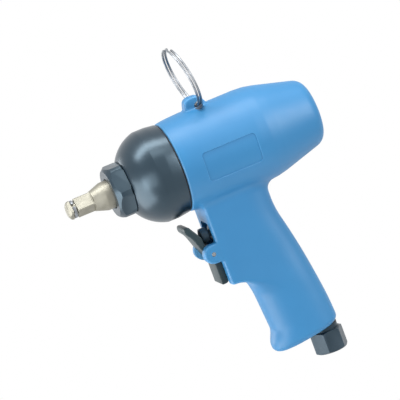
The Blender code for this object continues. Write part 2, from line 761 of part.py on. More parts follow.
def front_line(drop):
    """X of the grip's front: trigger block, rounded lower edge, hollow underside, finger side and toe."""
    below = (drop - BLOCK_DROP) / (GRIP_DROP - BLOCK_DROP)
    toe = smooth((drop - GRIP_DROP + GRIP_TOE_HEIGHT) / (GRIP_TOE_HEIGHT * 0.7))
    finger_side = TOE_X - GRIP_FRONT_LEAN * below + GRIP_TOE * toe
    rounding = min(max(1 + (drop - BLOCK_DROP) / BLOCK_EDGE, 0.0), 1.0)
    block_front = BLOCK_FRONT - BLOCK_EDGE * (1 - math.sqrt(1 - rounding * rounding))
    hollow = min(max((drop - BLOCK_DROP) / BLOCK_UNDERSIDE, 0.0), 1.0)
    return block_front + (finger_side - block_front) * math.sqrt(hollow * (2 - hollow))


def grip_section(drop):
    """Front x, back x, half width and front power of the grip's section at a drop below the axis."""
    down = (drop - BARREL_RADIUS) / (GRIP_DROP - BARREL_RADIUS)
    back = HOUSING_FRONT - GRIP_BACK_SETBACK - GRIP_BACK_LEAN * down + GRIP_BACK_CURL * down * down
    flare = max(1 - (drop - BARREL_RADIUS - BACK_FILLET) / GRIP_FLARE_HEIGHT, 0.0)
    back -= GRIP_BACK_FLARE * flare * flare
    widen = smooth((drop - BLOCK_DROP + 2 * BLOCK_UNDERSIDE) / (4 * BLOCK_UNDERSIDE))
    half_width = BLOCK_HALF_WIDTH + (GRIP_HALF_WIDTH - BLOCK_HALF_WIDTH) * widen
    rounder = smooth((drop - BLOCK_DROP) / (2 * BLOCK_UNDERSIDE))
    power = 1 / ((1 - rounder) / BLOCK_POWER + rounder / GRIP_POWER)
    return front_line(drop), back, half_width, power


def section_loop(drop, inset_front=0.0, inset_back=0.0):
    """Points and outward normals of the section: a squarer front half and a rounder back half."""
    front, back, half_width, power = grip_section(drop)
    middle = back + GRIP_BACK_DEPTH
    side = half_width - inset_front
    loop = []
    for i in range(LOOP_POINTS):
        angle = 2 * math.pi * i / LOOP_POINTS
        cosine, sine = math.cos(angle), math.sin(angle)
        ahead = cosine >= 0
        reach = front - inset_front - middle if ahead else middle - back - inset_back
        exponent = power if ahead else GRIP_POWER
        along = math.copysign(abs(cosine) ** (2 / exponent), cosine)
        across = math.copysign(abs(sine) ** (2 / exponent), sine)
        normal = Vector(
            (
                math.copysign(abs(along) ** (exponent - 1), along) / reach,
                math.copysign(abs(across) ** (exponent - 1), across) / side,
                0,
            )
        ).normalized()
        x = middle + reach * along
        tilt = smooth(1 + (drop - GRIP_DROP) / FOOT_HEIGHT)
        rise = tilt * (foot_level(x) + GRIP_DROP)
        loop.append((Vector((x, side * across, rise - drop)), normal))
    return loop


def fillet_radius(normal):
    """Fillet between grip and barrel: small in front, larger at the back and largest at the sides."""
    end = FRONT_FILLET if normal.x > 0 else BACK_FILLET
    return end + (SIDE_FILLET - end) * smooth(1 - abs(normal.x))


def fillet_rings():
    """Rings of the rolling-ball fillet from the grip's wall up to the barrel, then into the barrel."""
    barrel = BARREL_RADIUS - FILLET_BITE
    rings = [[] for _ in range(FILLET_RINGS + 2)]
    for point, normal in section_loop(BARREL_RADIUS + BACK_FILLET):
        radius = fillet_radius(normal)
        centre = point + normal * radius
        centre.z = -math.sqrt((barrel + radius) ** 2 - centre.y**2)
        to_barrel = -Vector((0, centre.y, centre.z)).normalized()
        for i in range(FILLET_RINGS + 1):
            direction = (-normal).slerp(to_barrel, i / FILLET_RINGS)
            rings[i].append(centre + direction * radius)
        inside = rings[FILLET_RINGS][-1].copy()
        inside.z *= 0.5
        inside.y *= 0.9
        rings[-1].append(inside)
    return rings


def build_grip():
    """Grip and trigger block lofted from below the barrel down to the rounded foot."""
    rings = list(reversed(fillet_rings()))
    top = BARREL_RADIUS + BACK_FILLET + SIDE_FILLET / 2
    drops = [top + (BLOCK_DROP - BLOCK_EDGE - top) * i / 3 for i in range(4)]
    drops += [BLOCK_DROP - BLOCK_EDGE * factor for factor in (0.5, 0.15, 0.0)]
    drops += [BLOCK_DROP + BLOCK_UNDERSIDE * factor for factor in (0.07, 0.2, 0.4, 0.65, 1.0, 1.4)]
    toe_top = GRIP_DROP - GRIP_TOE_HEIGHT
    drops += [drops[-1] + (toe_top - drops[-1]) * i / 3 for i in range(1, 4)]
    foot_top = GRIP_DROP - GRIP_BOTTOM_ROUND
    drops += [toe_top + (foot_top - toe_top) * i / 5 for i in range(1, 5)]
    for drop in drops:
        rings.append([point for point, _ in section_loop(drop)])
    for i in range(5):
        turn = math.pi / 2 * i / 4
        drop = foot_top + GRIP_BOTTOM_ROUND * math.sin(turn)
        inset_front = GRIP_BOTTOM_ROUND * (1 - math.cos(turn))
        inset_back = GRIP_HEEL_ROUND * (1 - math.cos(turn))
        rings.append([point for point, _ in section_loop(drop, inset_front, inset_back)])
    return add_object("grip_body", loft(rings))


def loft(rings):
    """A closed body through rings of equally many points, its first and last ring capped."""
    bm = bmesh.new()
    loops = [[bm.verts.new(point) for point in ring] for ring in rings]
    for upper, lower in zip(loops, loops[1:]):
        for i in range(len(upper)):
            following = (i + 1) % len(upper)
            bm.faces.new((upper[i], upper[following], lower[following], lower[i]))
    bm.faces.new(loops[0])
    bm.faces.new(loops[-1])
    bmesh.ops.remove_doubles(bm, verts=bm.verts, dist=WELD)
    bmesh.ops.recalc_face_normals(bm, faces=bm.faces)
    return bm


def build_lug():
    """Lug on top of the barrel: steep in front, sloping behind."""
    hole = LUG_HOLE_PLACE
    top = BARREL_RADIUS + LUG_HEIGHT
    root = BARREL_RADIUS - BARREL_WALL / 2
    shoulder = LUG_HOLE + LUG_EDGE
    outline = rounded(
        [
            (hole.x + LUG_FRONT + LUG_EDGE, root, LUG_EDGE),
            (hole.x + LUG_FRONT - LUG_EDGE, top, LUG_HEIGHT * 0.6),
            (hole.x - LUG_EDGE, top, LUG_HEIGHT / 2),
            (hole.x - shoulder, BARREL_RADIUS + LUG_HEIGHT * 0.6, LUG_HEIGHT / 3),
            (hole.x - LUG_REAR - LUG_EDGE, root, LUG_EDGE),
        ]
    )
    half = LUG_THICKNESS / 2
    return add_object("ring_lug", prism(outline, -half, half, "XZ", LUG_EDGE))


def build_ears():
    """Round-nosed block that the slot divides into the two trigger ears."""
    inside = SLOT_BACK - CUT_PAST
    nose = arc((PIVOT.x, PIVOT.z), EAR_RADIUS, -math.pi / 2, math.pi / 2)
    outline = [(inside, PIVOT.z - EAR_RADIUS), *nose, (inside, PIVOT.z + EAR_RADIUS)]
    half = BLOCK_HALF_WIDTH - SEAT
    return add_object("trigger_ears", prism(outline, -half, half, "XZ", EAR_EDGE))


def nameplate_cutter():
    front = HOUSING_FRONT - PLATE_SETBACK
    low = (front - PLATE_LENGTH, -PLATE_DROP - PLATE_HEIGHT / 2)
    high = (front, PLATE_HEIGHT / 2 - PLATE_DROP)
    outline = rounded_rectangle(low, high, PLATE_ROUND)
    block = prism(outline, BARREL_RADIUS / 2, BARREL_RADIUS + CUT_PAST)
    cutter = add_object("nameplate_recess", block)
    core = rod(low[0] - CUT_PAST, high[0] + CUT_PAST, BARREL_RADIUS - PLATE_DEPTH, LARGE_STEPS)
    cut(cutter, add_object("nameplate_core", core))
    return cutter


def slot_cutter():
    low = (-SLOT_HALF_WIDTH, -BLOCK_DROP - SLOT_ROUND - CUT_PAST)
    high = (SLOT_HALF_WIDTH, -SLOT_TOP_DROP)
    outline = rounded_rectangle(low, high, SLOT_ROUND)
    return add_object("trigger_slot", prism(outline, SLOT_BACK, PIVOT.x + 2 * EAR_RADIUS, "YZ"))


def stem_tip(level):
    """X of a valve stem's rounded tip: just behind the trigger arm that presses it."""
    reach = TRIGGER_PAD if level > PIVOT.z else -TRIGGER_BACK
    return PIVOT.x + reach - STEM_TIP_GAP


def valve_floor(level):
    """X of the blind end of a valve's bore, behind its compressed spring."""
    return collar_rear(level) - SPRING_LENGTH - 2 * SEAT


def collar_rear(level):
    """X of the rear face of a stem's collar, which has its outward travel in front of it."""
    return bush_rear() + VALVE_BUSH_LENGTH / 2 - VALVE_TRAVEL - FIT - STEM_COLLAR


def bush_rear():
    return SLOT_BACK - VALVE_BUSH_LENGTH


def build_valve(name, level, flange, head, head_radius):
    """Bush, dome-headed stem and return spring of one valve, all on one axis along X."""
    place = (0, 0, level)
    mouth = bush_rear() + VALVE_BUSH_LENGTH / 2
    flange_rear = SLOT_BACK + FIT
    bush = turned(
        [
            (bush_rear(), VALVE_BORE),
            (bush_rear(), VALVE_BUSH_RADIUS),
            (flange_rear, VALVE_BUSH_RADIUS),
            (flange_rear, VALVE_FLANGE_RADIUS),
            (flange_rear + flange, VALVE_FLANGE_RADIUS),
            (flange_rear + flange, STEM_RADIUS + FIT),
            (mouth, STEM_RADIUS + FIT),
            (mouth, VALVE_BORE),
        ],
        SMALL_STEPS,
        ring=True,
    )
    add_object(f"{name}_valve_bush", bush, VALVE_PLASTIC, location=place)
    tip = stem_tip(level)
    dome_end = math.asin(head_radius / HEAD_DOME_RADIUS)
    collar = collar_rear(level)
    tail_rear = collar - SPRING_LENGTH / 2
    stem = turned(
        [
            *arc((tip - HEAD_DOME_RADIUS, 0), HEAD_DOME_RADIUS, 0, dome_end),
            (tip - head, head_radius),
            (tip - head, STEM_RADIUS),
            (collar + STEM_COLLAR, STEM_RADIUS),
            (collar + STEM_COLLAR, STEM_COLLAR_RADIUS),
            (collar, STEM_COLLAR_RADIUS),
            (collar, STEM_TAIL_RADIUS),
            (tail_rear, STEM_TAIL_RADIUS),
            (tail_rear, 0),
        ],
        SMALL_STEPS,
    )
    add_object(f"{name}_valve_stem", stem, VALVE_PLASTIC, location=place)
    build_spring(f"{name}_valve_spring", collar - SEAT, level)


def build_spring(name, front, level):
    """Compression spring as one helix whose axis is the valve's."""
    radius = STEM_COLLAR_RADIUS - SPRING_WIRE / 2
    length = SPRING_LENGTH - SPRING_WIRE
    count = SPRING_TURNS * CURL_POINTS
    points = []
    for i in range(count + 1):
        angle = 2 * math.pi * i / CURL_POINTS
        along = -SPRING_WIRE / 2 - length * i / count
        points.append(Vector((along, radius * math.cos(angle), radius * math.sin(angle))))
    gap = least_gap(points, SPRING_WIRE, CURL_POINTS // 2 + 1)
    print(f"{name}: least gap between curls {gap * 1000:.2f} mm")
    wire(name, points, SPRING_WIRE, SPRING_STEEL, (front, 0, level))


def valve_bore_cutter(name, level):
    bore = rod(valve_floor(level), SLOT_BACK + FIT / 2, VALVE_BUSH_RADIUS + FIT)
    return add_object(f"{name}_valve_bore", bore, location=(0, 0, level))


def inlet_cutter():
    """Bore for the inlet shank with a counterbore for its neck, open at the foot of the grip."""
    seat = inlet_seat()
    neck = INLET_NECK_RADIUS + FIT
    shank = INLET_SHANK_RADIUS + FIT
    top = seat + INLET_SHANK_LENGTH
    bore = turned(
        [
            (-GRIP_DROP - CUT_PAST, 0),
            (-GRIP_DROP - CUT_PAST, neck),
            (seat, neck),
            (seat, shank),
            (top, shank),
            (top, 0),
        ],
        axis="Z",
    )
    return add_object("inlet_bore", bore, location=(INLET_X, 0, 0))


def inlet_seat():
    """Z of the flat seat above the inlet's neck, sunk into the sloping foot."""
    return foot_level(INLET_X) + INLET_SINK


def passage_cutter():
    """Air passage from the top of the inlet bore up to the rear ends of both valve bores."""
    start = Vector((INLET_X, 0, inlet_seat() + INLET_SHANK_LENGTH - PASSAGE_RADIUS))
    end = Vector((valve_floor(REVERSE_VALVE) + PASSAGE_RADIUS, 0, REVERSE_VALVE - VALVE_BUSH_RADIUS / 4))
    direction = end - start
    passage = rod(0, direction.length, PASSAGE_RADIUS)
    turn = direction.to_track_quat("X", "Z").to_euler()
    lower = add_object("air_passage", passage, location=start, rotation=turn)
    past = VALVE_BUSH_RADIUS / 3
    riser = rod(REVERSE_VALVE - past, FORWARD_VALVE + past, RISER_RADIUS, axis="Z")
    place = (valve_floor(REVERSE_VALVE) + PASSAGE_RADIUS, 0, 0)
    upper = add_object("air_riser", riser, location=place)
    return lower, upper


def exhaust_outline(inset):
    half_length = EXHAUST_LENGTH / 2 - inset
    half_width = EXHAUST_WIDTH / 2 - inset
    return rounded_rectangle((-half_length, -half_width), (half_length, half_width), half_width * 0.6)


def exhaust_cutter():
    pocket = prism(exhaust_outline(0), -GRIP_DROP - CUT_PAST, -GRIP_DROP + EXHAUST_DEPTH, "XY")
    return add_object("exhaust_pocket", pocket, location=(EXHAUST_X, 0, 0))


def build_muffler():
    floor = foot_level(EXHAUST_X) + EXHAUST_INSET
    block = prism(exhaust_outline(FIT), floor, -GRIP_DROP + EXHAUST_DEPTH - FIT, "XY")
    return add_object("exhaust_muffler", block, POROUS, location=(EXHAUST_X, 0, 0))


def build_housing():
    """One-piece moulding: barrel, grip, trigger ears and ring lug, hollowed for what it holds."""
    housing = add_object("motor_housing", turned(barrel_outline(), LARGE_STEPS), BLUE)
    for addition in (build_grip(), build_ears(), build_lug()):
        join(housing, addition)
    cavity = rod(CAVITY_REAR, HOUSING_FRONT + CUT_PAST, CAVITY_RADIUS, LARGE_STEPS)
    cut(housing, add_object("motor_cavity", cavity))
    cut(housing, slot_cutter())
    cut(housing, valve_bore_cutter("forward", FORWARD_VALVE))
    cut(housing, valve_bore_cutter("reverse", REVERSE_VALVE))
    pin_hole = rod(-BLOCK_HALF_WIDTH - CUT_PAST, BLOCK_HALF_WIDTH + CUT_PAST, PIN_RADIUS + SEAT, axis="Y")
    cut(housing, add_object("pin_hole", pin_hole, location=PIVOT))
    cut(housing, inlet_cutter())
    for cutter in passage_cutter():
        cut(housing, cutter)
    cut(housing, exhaust_cutter())
    cut(housing, nameplate_cutter())
    reach = 1.5 * LUG_THICKNESS
    ring_hole = rod(-reach, reach, LUG_HOLE, axis="Y")
    cut(housing, add_object("ring_hole", ring_hole, location=LUG_HOLE_PLACE))
    return housing


def trigger_outline():
    """Side outline of the rocker about its pin: upper arm standing out, lower arm against the slot."""
    arm = TRIGGER_ARM
    tip = TRIGGER_TIP_REACH
    belly = TRIGGER_BACK + arm / 3
    shin = arm / 9
    return rounded(
        [
            (tip - arm, TRIGGER_TOP - arm / 5, arm / 3),
            (tip - arm / 6, TRIGGER_TOP, arm / 2.5),
            (tip, TRIGGER_TOP - arm, arm),
            (tip - 0.9 * arm, TRIGGER_TOP - 2.2 * arm, 3 * arm),
            (belly, TRIGGER_TOP - 4.2 * arm, 3 * arm),
            (shin, 3.9 * arm - TRIGGER_BOTTOM, 2.4 * arm),
            (shin, -TRIGGER_BOTTOM, arm / 4),
            (-TRIGGER_BACK, -TRIGGER_BOTTOM, arm / 1.4),
            (-TRIGGER_BACK, TRIGGER_LEDGE, arm),
            (TRIGGER_PAD, TRIGGER_LEDGE + arm / 4, arm / 3),
            (TRIGGER_PAD, VALVE_LEVER + arm / 5, arm),
        ]
    )


def build_trigger():
    half = TRIGGER_HALF_WIDTH
    rocker = prism(trigger_outline(), -half, half, "XZ", TRIGGER_EDGE)
    trigger = add_object("trigger", rocker, DARK_PLASTIC, PIVOT)
    hole = rod(-half - CUT_PAST, half + CUT_PAST, PIN_RADIUS + FIT, axis="Y")
    cut(trigger, add_object("trigger_pin_hole", hole, location=PIVOT))
    return trigger


def build_trigger_pin():
    half = BLOCK_HALF_WIDTH - SEAT
    return add_object("trigger_pin", rod(-half, half, PIN_RADIUS, axis="Y"), STEEL, PIVOT)


def build_inlet():
    """Hexagon inlet bushing with its neck, shank and through bore, its seal ring and its strainer."""
    place = (INLET_X, 0, 0)
    neck_top = inlet_seat() - SEAT
    hex_top = neck_top - INLET_NECK_LENGTH
    hex_bottom = hex_top - INLET_HEX_LENGTH
    shank_top = inlet_seat() + INLET_SHANK_LENGTH - FIT
    corner = INLET_HEX_FLATS / math.sqrt(3)
    face = INLET_HEX_FLATS / 2 - INLET_HEX_CHAMFER / 4
    hexagon_body = prism(hexagon(INLET_HEX_FLATS), hex_bottom, hex_top, "XY")
    bushing = add_object("air_inlet_bushing", hexagon_body, INLET_PAINT, place, (0, 0, INLET_HEX_TURN))
    envelope = turned(
        [
            (hex_bottom, 0),
            (hex_bottom, face),
            (hex_bottom + INLET_HEX_CHAMFER, corner + FIT),
            (hex_top - INLET_HEX_CHAMFER, corner + FIT),
            (hex_top, face),
            (hex_top, 0),
        ],
        MEDIUM_STEPS,
        axis="Z",
    )
    combine(bushing, add_object("inlet_envelope", envelope, location=place), "INTERSECT")
    seal_seat = neck_top - 2 * SEAL_RING_WIRE
    shank = turned(
        [
            (hex_top - CUT_PAST, 0),
            (hex_top - CUT_PAST, INLET_NECK_RADIUS),
            (seal_seat, INLET_NECK_RADIUS),
            (seal_seat, INLET_SHANK_RADIUS),
            (shank_top, INLET_SHANK_RADIUS),
            (shank_top, 0),
        ],
        MEDIUM_STEPS,
        axis="Z",
    )
    join(bushing, add_object("inlet_shank", shank, location=place))
    screen_seat = shank_top - SCREEN_LENGTH
    bore = turned(
        [
            (hex_bottom - CUT_PAST, 0),
            (hex_bottom - CUT_PAST, INLET_BORE),
            (screen_seat, INLET_BORE),
            (screen_seat, INLET_BORE + SCREEN_WALL),
            (shank_top + CUT_PAST, INLET_BORE + SCREEN_WALL),
            (shank_top + CUT_PAST, 0),
        ],
        SMALL_STEPS,
        axis="Z",
    )
    cut(bushing, add_object("inlet_through_bore", bore, location=place))
    seal = tube(seal_seat + SEAT, neck_top, INLET_SHANK_RADIUS + SEAT, INLET_NECK_RADIUS, axis="Z")
    add_object("inlet_o_ring", seal, RUBBER, place)
    screen_outer = INLET_BORE + SCREEN_WALL - SEAT
    cup = turned(
        [
            (screen_seat + FIT, screen_outer - SCREEN_WALL),
            (screen_seat + FIT, screen_outer),
            (shank_top, screen_outer),
            (shank_top, 0),
            (shank_top - SCREEN_WALL, 0),
            (shank_top - SCREEN_WALL, screen_outer - SCREEN_WALL),
        ],
        SMALL_STEPS,
        ring=True,
        axis="Z",
    )
    add_object("inlet_screen", cup, BRONZE, place)


def ring_points():
    """Two flat turns of wire side by side that change places once, opposite the lug."""
    start = RING_CROSSING
    end = 4 * math.pi - RING_CROSSING
    count = round((end - start) / (2 * math.pi) * LOOP_STEPS)
    points = []
    for i in range(count + 1):
        angle = start + (end - start) * i / count
        crossed = smooth((angle - 2 * math.pi + RING_CROSSING) / (2 * RING_CROSSING))
        aside = RING_PITCH * (crossed - 0.5)
        across = RING_RADIUS * math.sin(angle)
        rise = RING_RADIUS * (1 + math.cos(angle))
        points.append(Vector((aside, across, rise)))
    return points


def build_hang_ring():
    points = ring_points()
    gap = least_gap(points, RING_WIRE, LOOP_STEPS // 2)
    print(f"hang_ring: least gap between turns {gap * 1000:.2f} mm")
    lean = Matrix.Rotation(RING_LEAN, 3, "Y") @ Matrix.Rotation(RING_YAW, 3, "Z")
    return wire("hang_ring", points, RING_WIRE, SPRING_STEEL, LUG_HOLE_PLACE, lean.to_euler())


def main():
    clear_scene()
    build_anvil()
    build_retainer_ring()
    build_collar()
    build_case()
    build_nose_bush()
    build_gasket()
    build_motor_cylinder()
    build_end_plate("front_end_plate", FRONT_PLATE_REAR, FRONT_PLATE_FRONT)
    build_end_plate("rear_end_plate", REAR_PLATE_FRONT, REAR_PLATE_REAR)
    build_bearing("front_bearing", FRONT_PLATE_FRONT, 1)
    build_bearing("rear_bearing", REAR_PLATE_REAR, -1)
    build_rotor()
    build_vanes()
    build_cage()
    build_hammers()
    build_hammer_pins()
    build_housing()
    build_trigger()
    build_trigger_pin()
    build_valve("forward", FORWARD_VALVE, FORWARD_FLANGE, FORWARD_HEAD, FORWARD_HEAD_RADIUS)
    build_valve("reverse", REVERSE_VALVE, REVERSE_FLANGE, REVERSE_HEAD, REVERSE_HEAD_RADIUS)
    build_inlet()
    build_muffler()
    build_hang_ring()


main()
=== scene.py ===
"""Looks of a small pistol-grip air impact wrench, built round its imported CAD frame, in metres.

+X runs forward out of the square drive, +Y to the tool's left, +Z up. The frame's origin is the
centre of the drive's end face.
"""

import math

import bmesh
import bpy
import numpy as np
from mathutils import Matrix, Vector


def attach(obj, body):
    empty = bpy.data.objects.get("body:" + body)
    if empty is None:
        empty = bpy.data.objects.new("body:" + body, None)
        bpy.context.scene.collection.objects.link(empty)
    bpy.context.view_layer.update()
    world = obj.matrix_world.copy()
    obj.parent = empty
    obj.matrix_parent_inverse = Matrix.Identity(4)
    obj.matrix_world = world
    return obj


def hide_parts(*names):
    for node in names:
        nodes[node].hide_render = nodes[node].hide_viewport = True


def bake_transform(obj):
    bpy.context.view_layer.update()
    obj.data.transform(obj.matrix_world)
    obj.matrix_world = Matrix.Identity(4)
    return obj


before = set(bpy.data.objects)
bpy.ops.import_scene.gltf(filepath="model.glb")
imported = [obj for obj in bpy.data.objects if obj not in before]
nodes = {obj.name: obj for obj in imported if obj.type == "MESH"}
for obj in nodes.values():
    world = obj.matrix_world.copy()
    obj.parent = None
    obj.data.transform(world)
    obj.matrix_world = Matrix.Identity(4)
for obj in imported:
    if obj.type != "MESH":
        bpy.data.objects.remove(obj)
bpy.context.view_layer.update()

# The photograph's view
VIEW_CENTRE = Vector((-0.0815, 0.0, -0.0254))
VIEW_RIGHT = Vector((-0.9035, 0.2659, -0.3391))
VIEW_UP = Vector((-0.3778, -0.1084, 0.9197))
VIEW_WIDTH = 0.248
VIEW_DISTANCE = 6.0
VIEW_RANGE = 50.0
SENSOR_WIDTH = 36.0

# Studio: the light from all round, the floor, and soft boxes as (place, width, height, watts, upward)
SURROUND_LIGHT = 0.25
FLOOR_LEVEL = -0.30
FLOOR_RADIUS = 0.3
FLOOR_TONE = 240
FLOOR_ROUGHNESS = 0.8
FLOOR_GLOW = 0.6
UPRIGHT = (0, 0, 1)
CROSSWISE = (0, 1, 0)
LAMPS = {
    "top_lamp": ((0.05, 0.08, 1.12), 1.8, 0.36, 17.5, CROSSWISE),
    "shoulder_lamp": ((-0.3, 0.55, 1.0), 0.6, 0.3, 1.8, CROSSWISE),
    "nose_lamp": ((1.0, 0.1, -0.45), 1.2, 1.1, 15, UPRIGHT),
    "cheek_lamp": ((0.9, 0.62, -0.05), 0.4, 0.5, 2.6, UPRIGHT),
    "flank_lamp": ((0.63, 0.9, 0.02), 0.42, 0.6, 1.7, UPRIGHT),
    "rear_lamp": ((-0.88, 0.74, 0.36), 0.5, 0.8, 9.5, UPRIGHT),
    "toe_lamp": ((0.62, -0.87, 0.06), 0.4, 0.5, 2.7, UPRIGHT),
}

# Fits and fineness
FIT = 0.0003
SEAT = 0.00015
CUT_PAST = 0.004
WELD = 1e-7
ROUND_STEPS = 160
SMALL_STEPS = 64
ARC_STEP = math.radians(9)
CREASE = math.radians(32)
CASE_CREASE = math.radians(40)
DRIVE_CREASE = math.radians(25)
HEXAGON_CREASE = math.radians(18)
EDGE_LEVEL = "edge_level"
MOULD_VOXEL = 0.00068
MOULD_SOFTENING = 4
MOULD_SOFTNESS = 0.5

# Square drive and anvil
DRIVE_SQUARE = 0.009525
DRIVE_LENGTH = 0.0172
DRIVE_CHAMFER = 0.0012
DRIVE_TURN = math.radians(37.7)
GROOVE_SETBACK = 0.003
GROOVE_WIDTH = 0.0023
GROOVE_RADIUS = 0.0046
GROOVE_FLOOR = 0.0041
GROOVE_PLAY = 0.0006
DRIVE_TURNED_RADIUS = 0.0063
RETAINER_THICKNESS = 0.0008
RETAINER_OPENING = math.radians(24)
ANVIL_RADIUS = 0.0091
CONE_FRONT = -0.0166
CONE_REAR = -0.025
CONE_EASE = 0.004
JAW_WIDTH = 0.0072
JAW_ROOT_RADIUS = 0.0078
JAW_REACH = 0.0118
TAIL_RADIUS = 0.004

# Nose collar and hammer case
NOSE_REACH = 0.0294
COLLAR_LENGTH = 0.0111
COLLAR_FLATS = 0.032
COLLAR_CHAMFER = 0.0031
COLLAR_LAND_DROP = 0.0008
COLLAR_LIP = 0.0032
COLLAR_BORE = ANVIL_RADIUS + 0.0007
COLLAR_EDGE = 0.0004
NOSE_BORE = ANVIL_RADIUS + 0.0028 + 2 * FIT
NOSE_TUBE_RADIUS = NOSE_BORE + 0.0022
CASE_FRONT = -NOSE_REACH - COLLAR_LENGTH
CASE_REAR = CASE_FRONT - 0.0308
CASE_BELL_DROP = 0.0123
CASE_BAND_LENGTH = 0.0142
CASE_BAND_STEPS = 12
CASE_BELL_BULGE = 0.0021
CASE_REAR_DROP = 0.0009
CASE_TAIL_WALL = 0.0029
CASE_FRONT_WALL = 0.0115
CASE_TAIL_LENGTH = 0.0095
CASE_EDGE = 0.0009
CASE_CREASE_ROUND = 0.0004
GASKET_THICKNESS = 0.0005

# Barrel of the housing
HOUSING_FRONT = CASE_REAR - GASKET_THICKNESS - 2 * SEAT
BARREL_LENGTH = 0.0966
BARREL_RADIUS = 0.0303
BARREL_WALL = 0.0043
BARREL_FRONT_DROP = 0.0013
BARREL_SWELL_LENGTH = 0.016
BARREL_CONE_LENGTH = 0.0367
BARREL_CONE_DROP = 0.0102
BARREL_REAR_ROUND = 0.0085
BARREL_LIP_ROUND = 0.0007
CAVITY_RADIUS = BARREL_RADIUS - BARREL_WALL
CAVITY_REAR = CASE_REAR - CASE_TAIL_LENGTH - 0.0552
HOUSING_REAR = HOUSING_FRONT - BARREL_LENGTH
CASE_RADIUS = BARREL_RADIUS - 0.0004
MOTOR_RADIUS = CAVITY_RADIUS - FIT

# Plate recess on the left side
PLATE_SETBACK = 0.0136
PLATE_DROP = 0.0026
PLATE_LENGTH = 0.0365
PLATE_HEIGHT = 0.0198
PLATE_ROUND = 0.0026
PLATE_DEPTH = 0.0006
PLATE_DRAFT = 0.0003
PLATE_SPACING = 0.0012
PLATE_RINGS = 8

# Grip and trigger block, with drops measured down from the drive axis
GRIP_DROP = 0.1338
GRIP_BACK_SETBACK = 0.0466
GRIP_BACK_LEAN = 0.0335
GRIP_BACK_CURL = 0.015
GRIP_BACK_FLARE = 0.0032
GRIP_FLARE_HEIGHT = 0.018
GRIP_BACK_DEPTH = 0.019
GRIP_HALF_WIDTH = 0.0162
GRIP_FRONT_SETBACK = 0.0203
GRIP_FRONT_LEAN = 0.0046
GRIP_TOE = 0.004
GRIP_TOE_HEIGHT = 0.0155
GRIP_TOE_RISE = 0.7
GRIP_BOTTOM_ROUND = 0.0035
GRIP_HEEL_ROUND = 0.004
FOOT_SLOPE = 0.148
FOOT_HEIGHT = 0.045
BLOCK_SETBACK = 0.0067
BLOCK_DROP = 0.0803
BLOCK_UNDERSIDE = 0.008
BLOCK_HALF_WIDTH = 0.0148
BLOCK_EDGE = 0.0014
SIDE_FILLET = 0.009
BACK_FILLET = 0.006
FRONT_FILLET = 0.0016
FILLET_BITE = 0.00012
GRIP_POWER = 2.5
BLOCK_POWER = 24.0
LOOP_POINTS = 176
FILLET_RINGS = 12
FILLET_ROOT_DEPTH = 0.5
FILLET_ROOT_WIDTH = 0.9
BLOCK_RINGS = 16
BLOCK_EDGE_RINGS = 8
UNDERSIDE_RINGS = 14
GRIP_RINGS = 32
FOOT_RINGS = 10

# Trigger, its ears and its two valves
PIVOT_SETBACK = 0.0027
PIVOT_DROP = 0.0576
EAR_RADIUS = 0.0062
EAR_EDGE = 0.0013
PIN_RADIUS = 0.0013
PIN_EDGE = 0.0003
SLOT_HALF_WIDTH = 0.0094
SLOT_DEPTH = 0.005
SLOT_TOP_DROP = 0.0392
SLOT_ROUND = 0.0045
TRIGGER_TOP = 0.0213
TRIGGER_BOTTOM = 0.0212
TRIGGER_TIP_REACH = 0.0118
TRIGGER_ARM = 0.0037
TRIGGER_PAD = 0.0024
TRIGGER_BACK = 0.0047
TRIGGER_LEDGE = 0.0036
TRIGGER_EDGE = 0.0007
VALVE_LEVER = 0.0106
VALVE_TRAVEL = 0.002
VALVE_BUSH_RADIUS = 0.0045
VALVE_BUSH_LENGTH = 0.011
VALVE_FLANGE_RADIUS = 0.005
FORWARD_FLANGE = 0.0032
REVERSE_FLANGE = 0.0008
FORWARD_HEAD = 0.0055
FORWARD_HEAD_RADIUS = 0.0049
REVERSE_HEAD = 0.0008
REVERSE_HEAD_RADIUS = 0.003
HEAD_DOME_RADIUS = 0.012
STEM_RADIUS = 0.0022
STEM_COLLAR = 0.0015
STEM_COLLAR_RADIUS = 0.0031
STEM_TAIL_RADIUS = 0.0012
STEM_TIP_GAP = 0.00035
SPRING_WIRE = 0.0007
SPRING_TURNS = 5
SPRING_LENGTH = 0.0092

# Air inlet and exhaust
INLET_SETBACK = 0.0558
INLET_SINK = 0.0012
INLET_HEX_FLATS = 0.019
INLET_HEX_LENGTH = 0.0139
INLET_HEX_TURN = math.radians(4)
INLET_HEX_CHAMFER = 0.0013
INLET_EDGE = 0.0004
INLET_NECK_RADIUS = 0.0083
INLET_NECK_LENGTH = 0.0043
INLET_SHANK_RADIUS = 0.0062
INLET_SHANK_LENGTH = 0.0125
INLET_BORE = 0.0045
SCREEN_WALL = 0.0006
SCREEN_LENGTH = 0.009
SEAL_RING_WIRE = 0.0007
THREAD_PITCH = 0.0014
THREAD_DEPTH = 0.0007
THREAD_TURNS = 9
EXHAUST_SETBACK = 0.0365
EXHAUST_LENGTH = 0.015
EXHAUST_WIDTH = 0.015
EXHAUST_DEPTH = 0.012

# Hang ring and its lug
LUG_SETBACK = 0.0283
LUG_HEIGHT = 0.0071
LUG_FRONT = 0.0088
LUG_REAR = 0.0058
LUG_THICKNESS = 0.0084
LUG_EDGE = 0.0012
LUG_HOLE = 0.0026
LUG_HOLE_RISE = 0.0006
RING_RADIUS = 0.0198
RING_WIRE = 0.0015
RING_PITCH = RING_WIRE + 0.00047
RING_CROSSING = math.radians(14)
RING_LEAN = math.radians(8.4)
RING_YAW = math.radians(3.3)

# Fineness of drawn wire
WIRE_SIDES = 20
WIRE_STEPS_PER_DIAMETER = 4
RING_POINTS = 240
SPRING_POINTS = 120

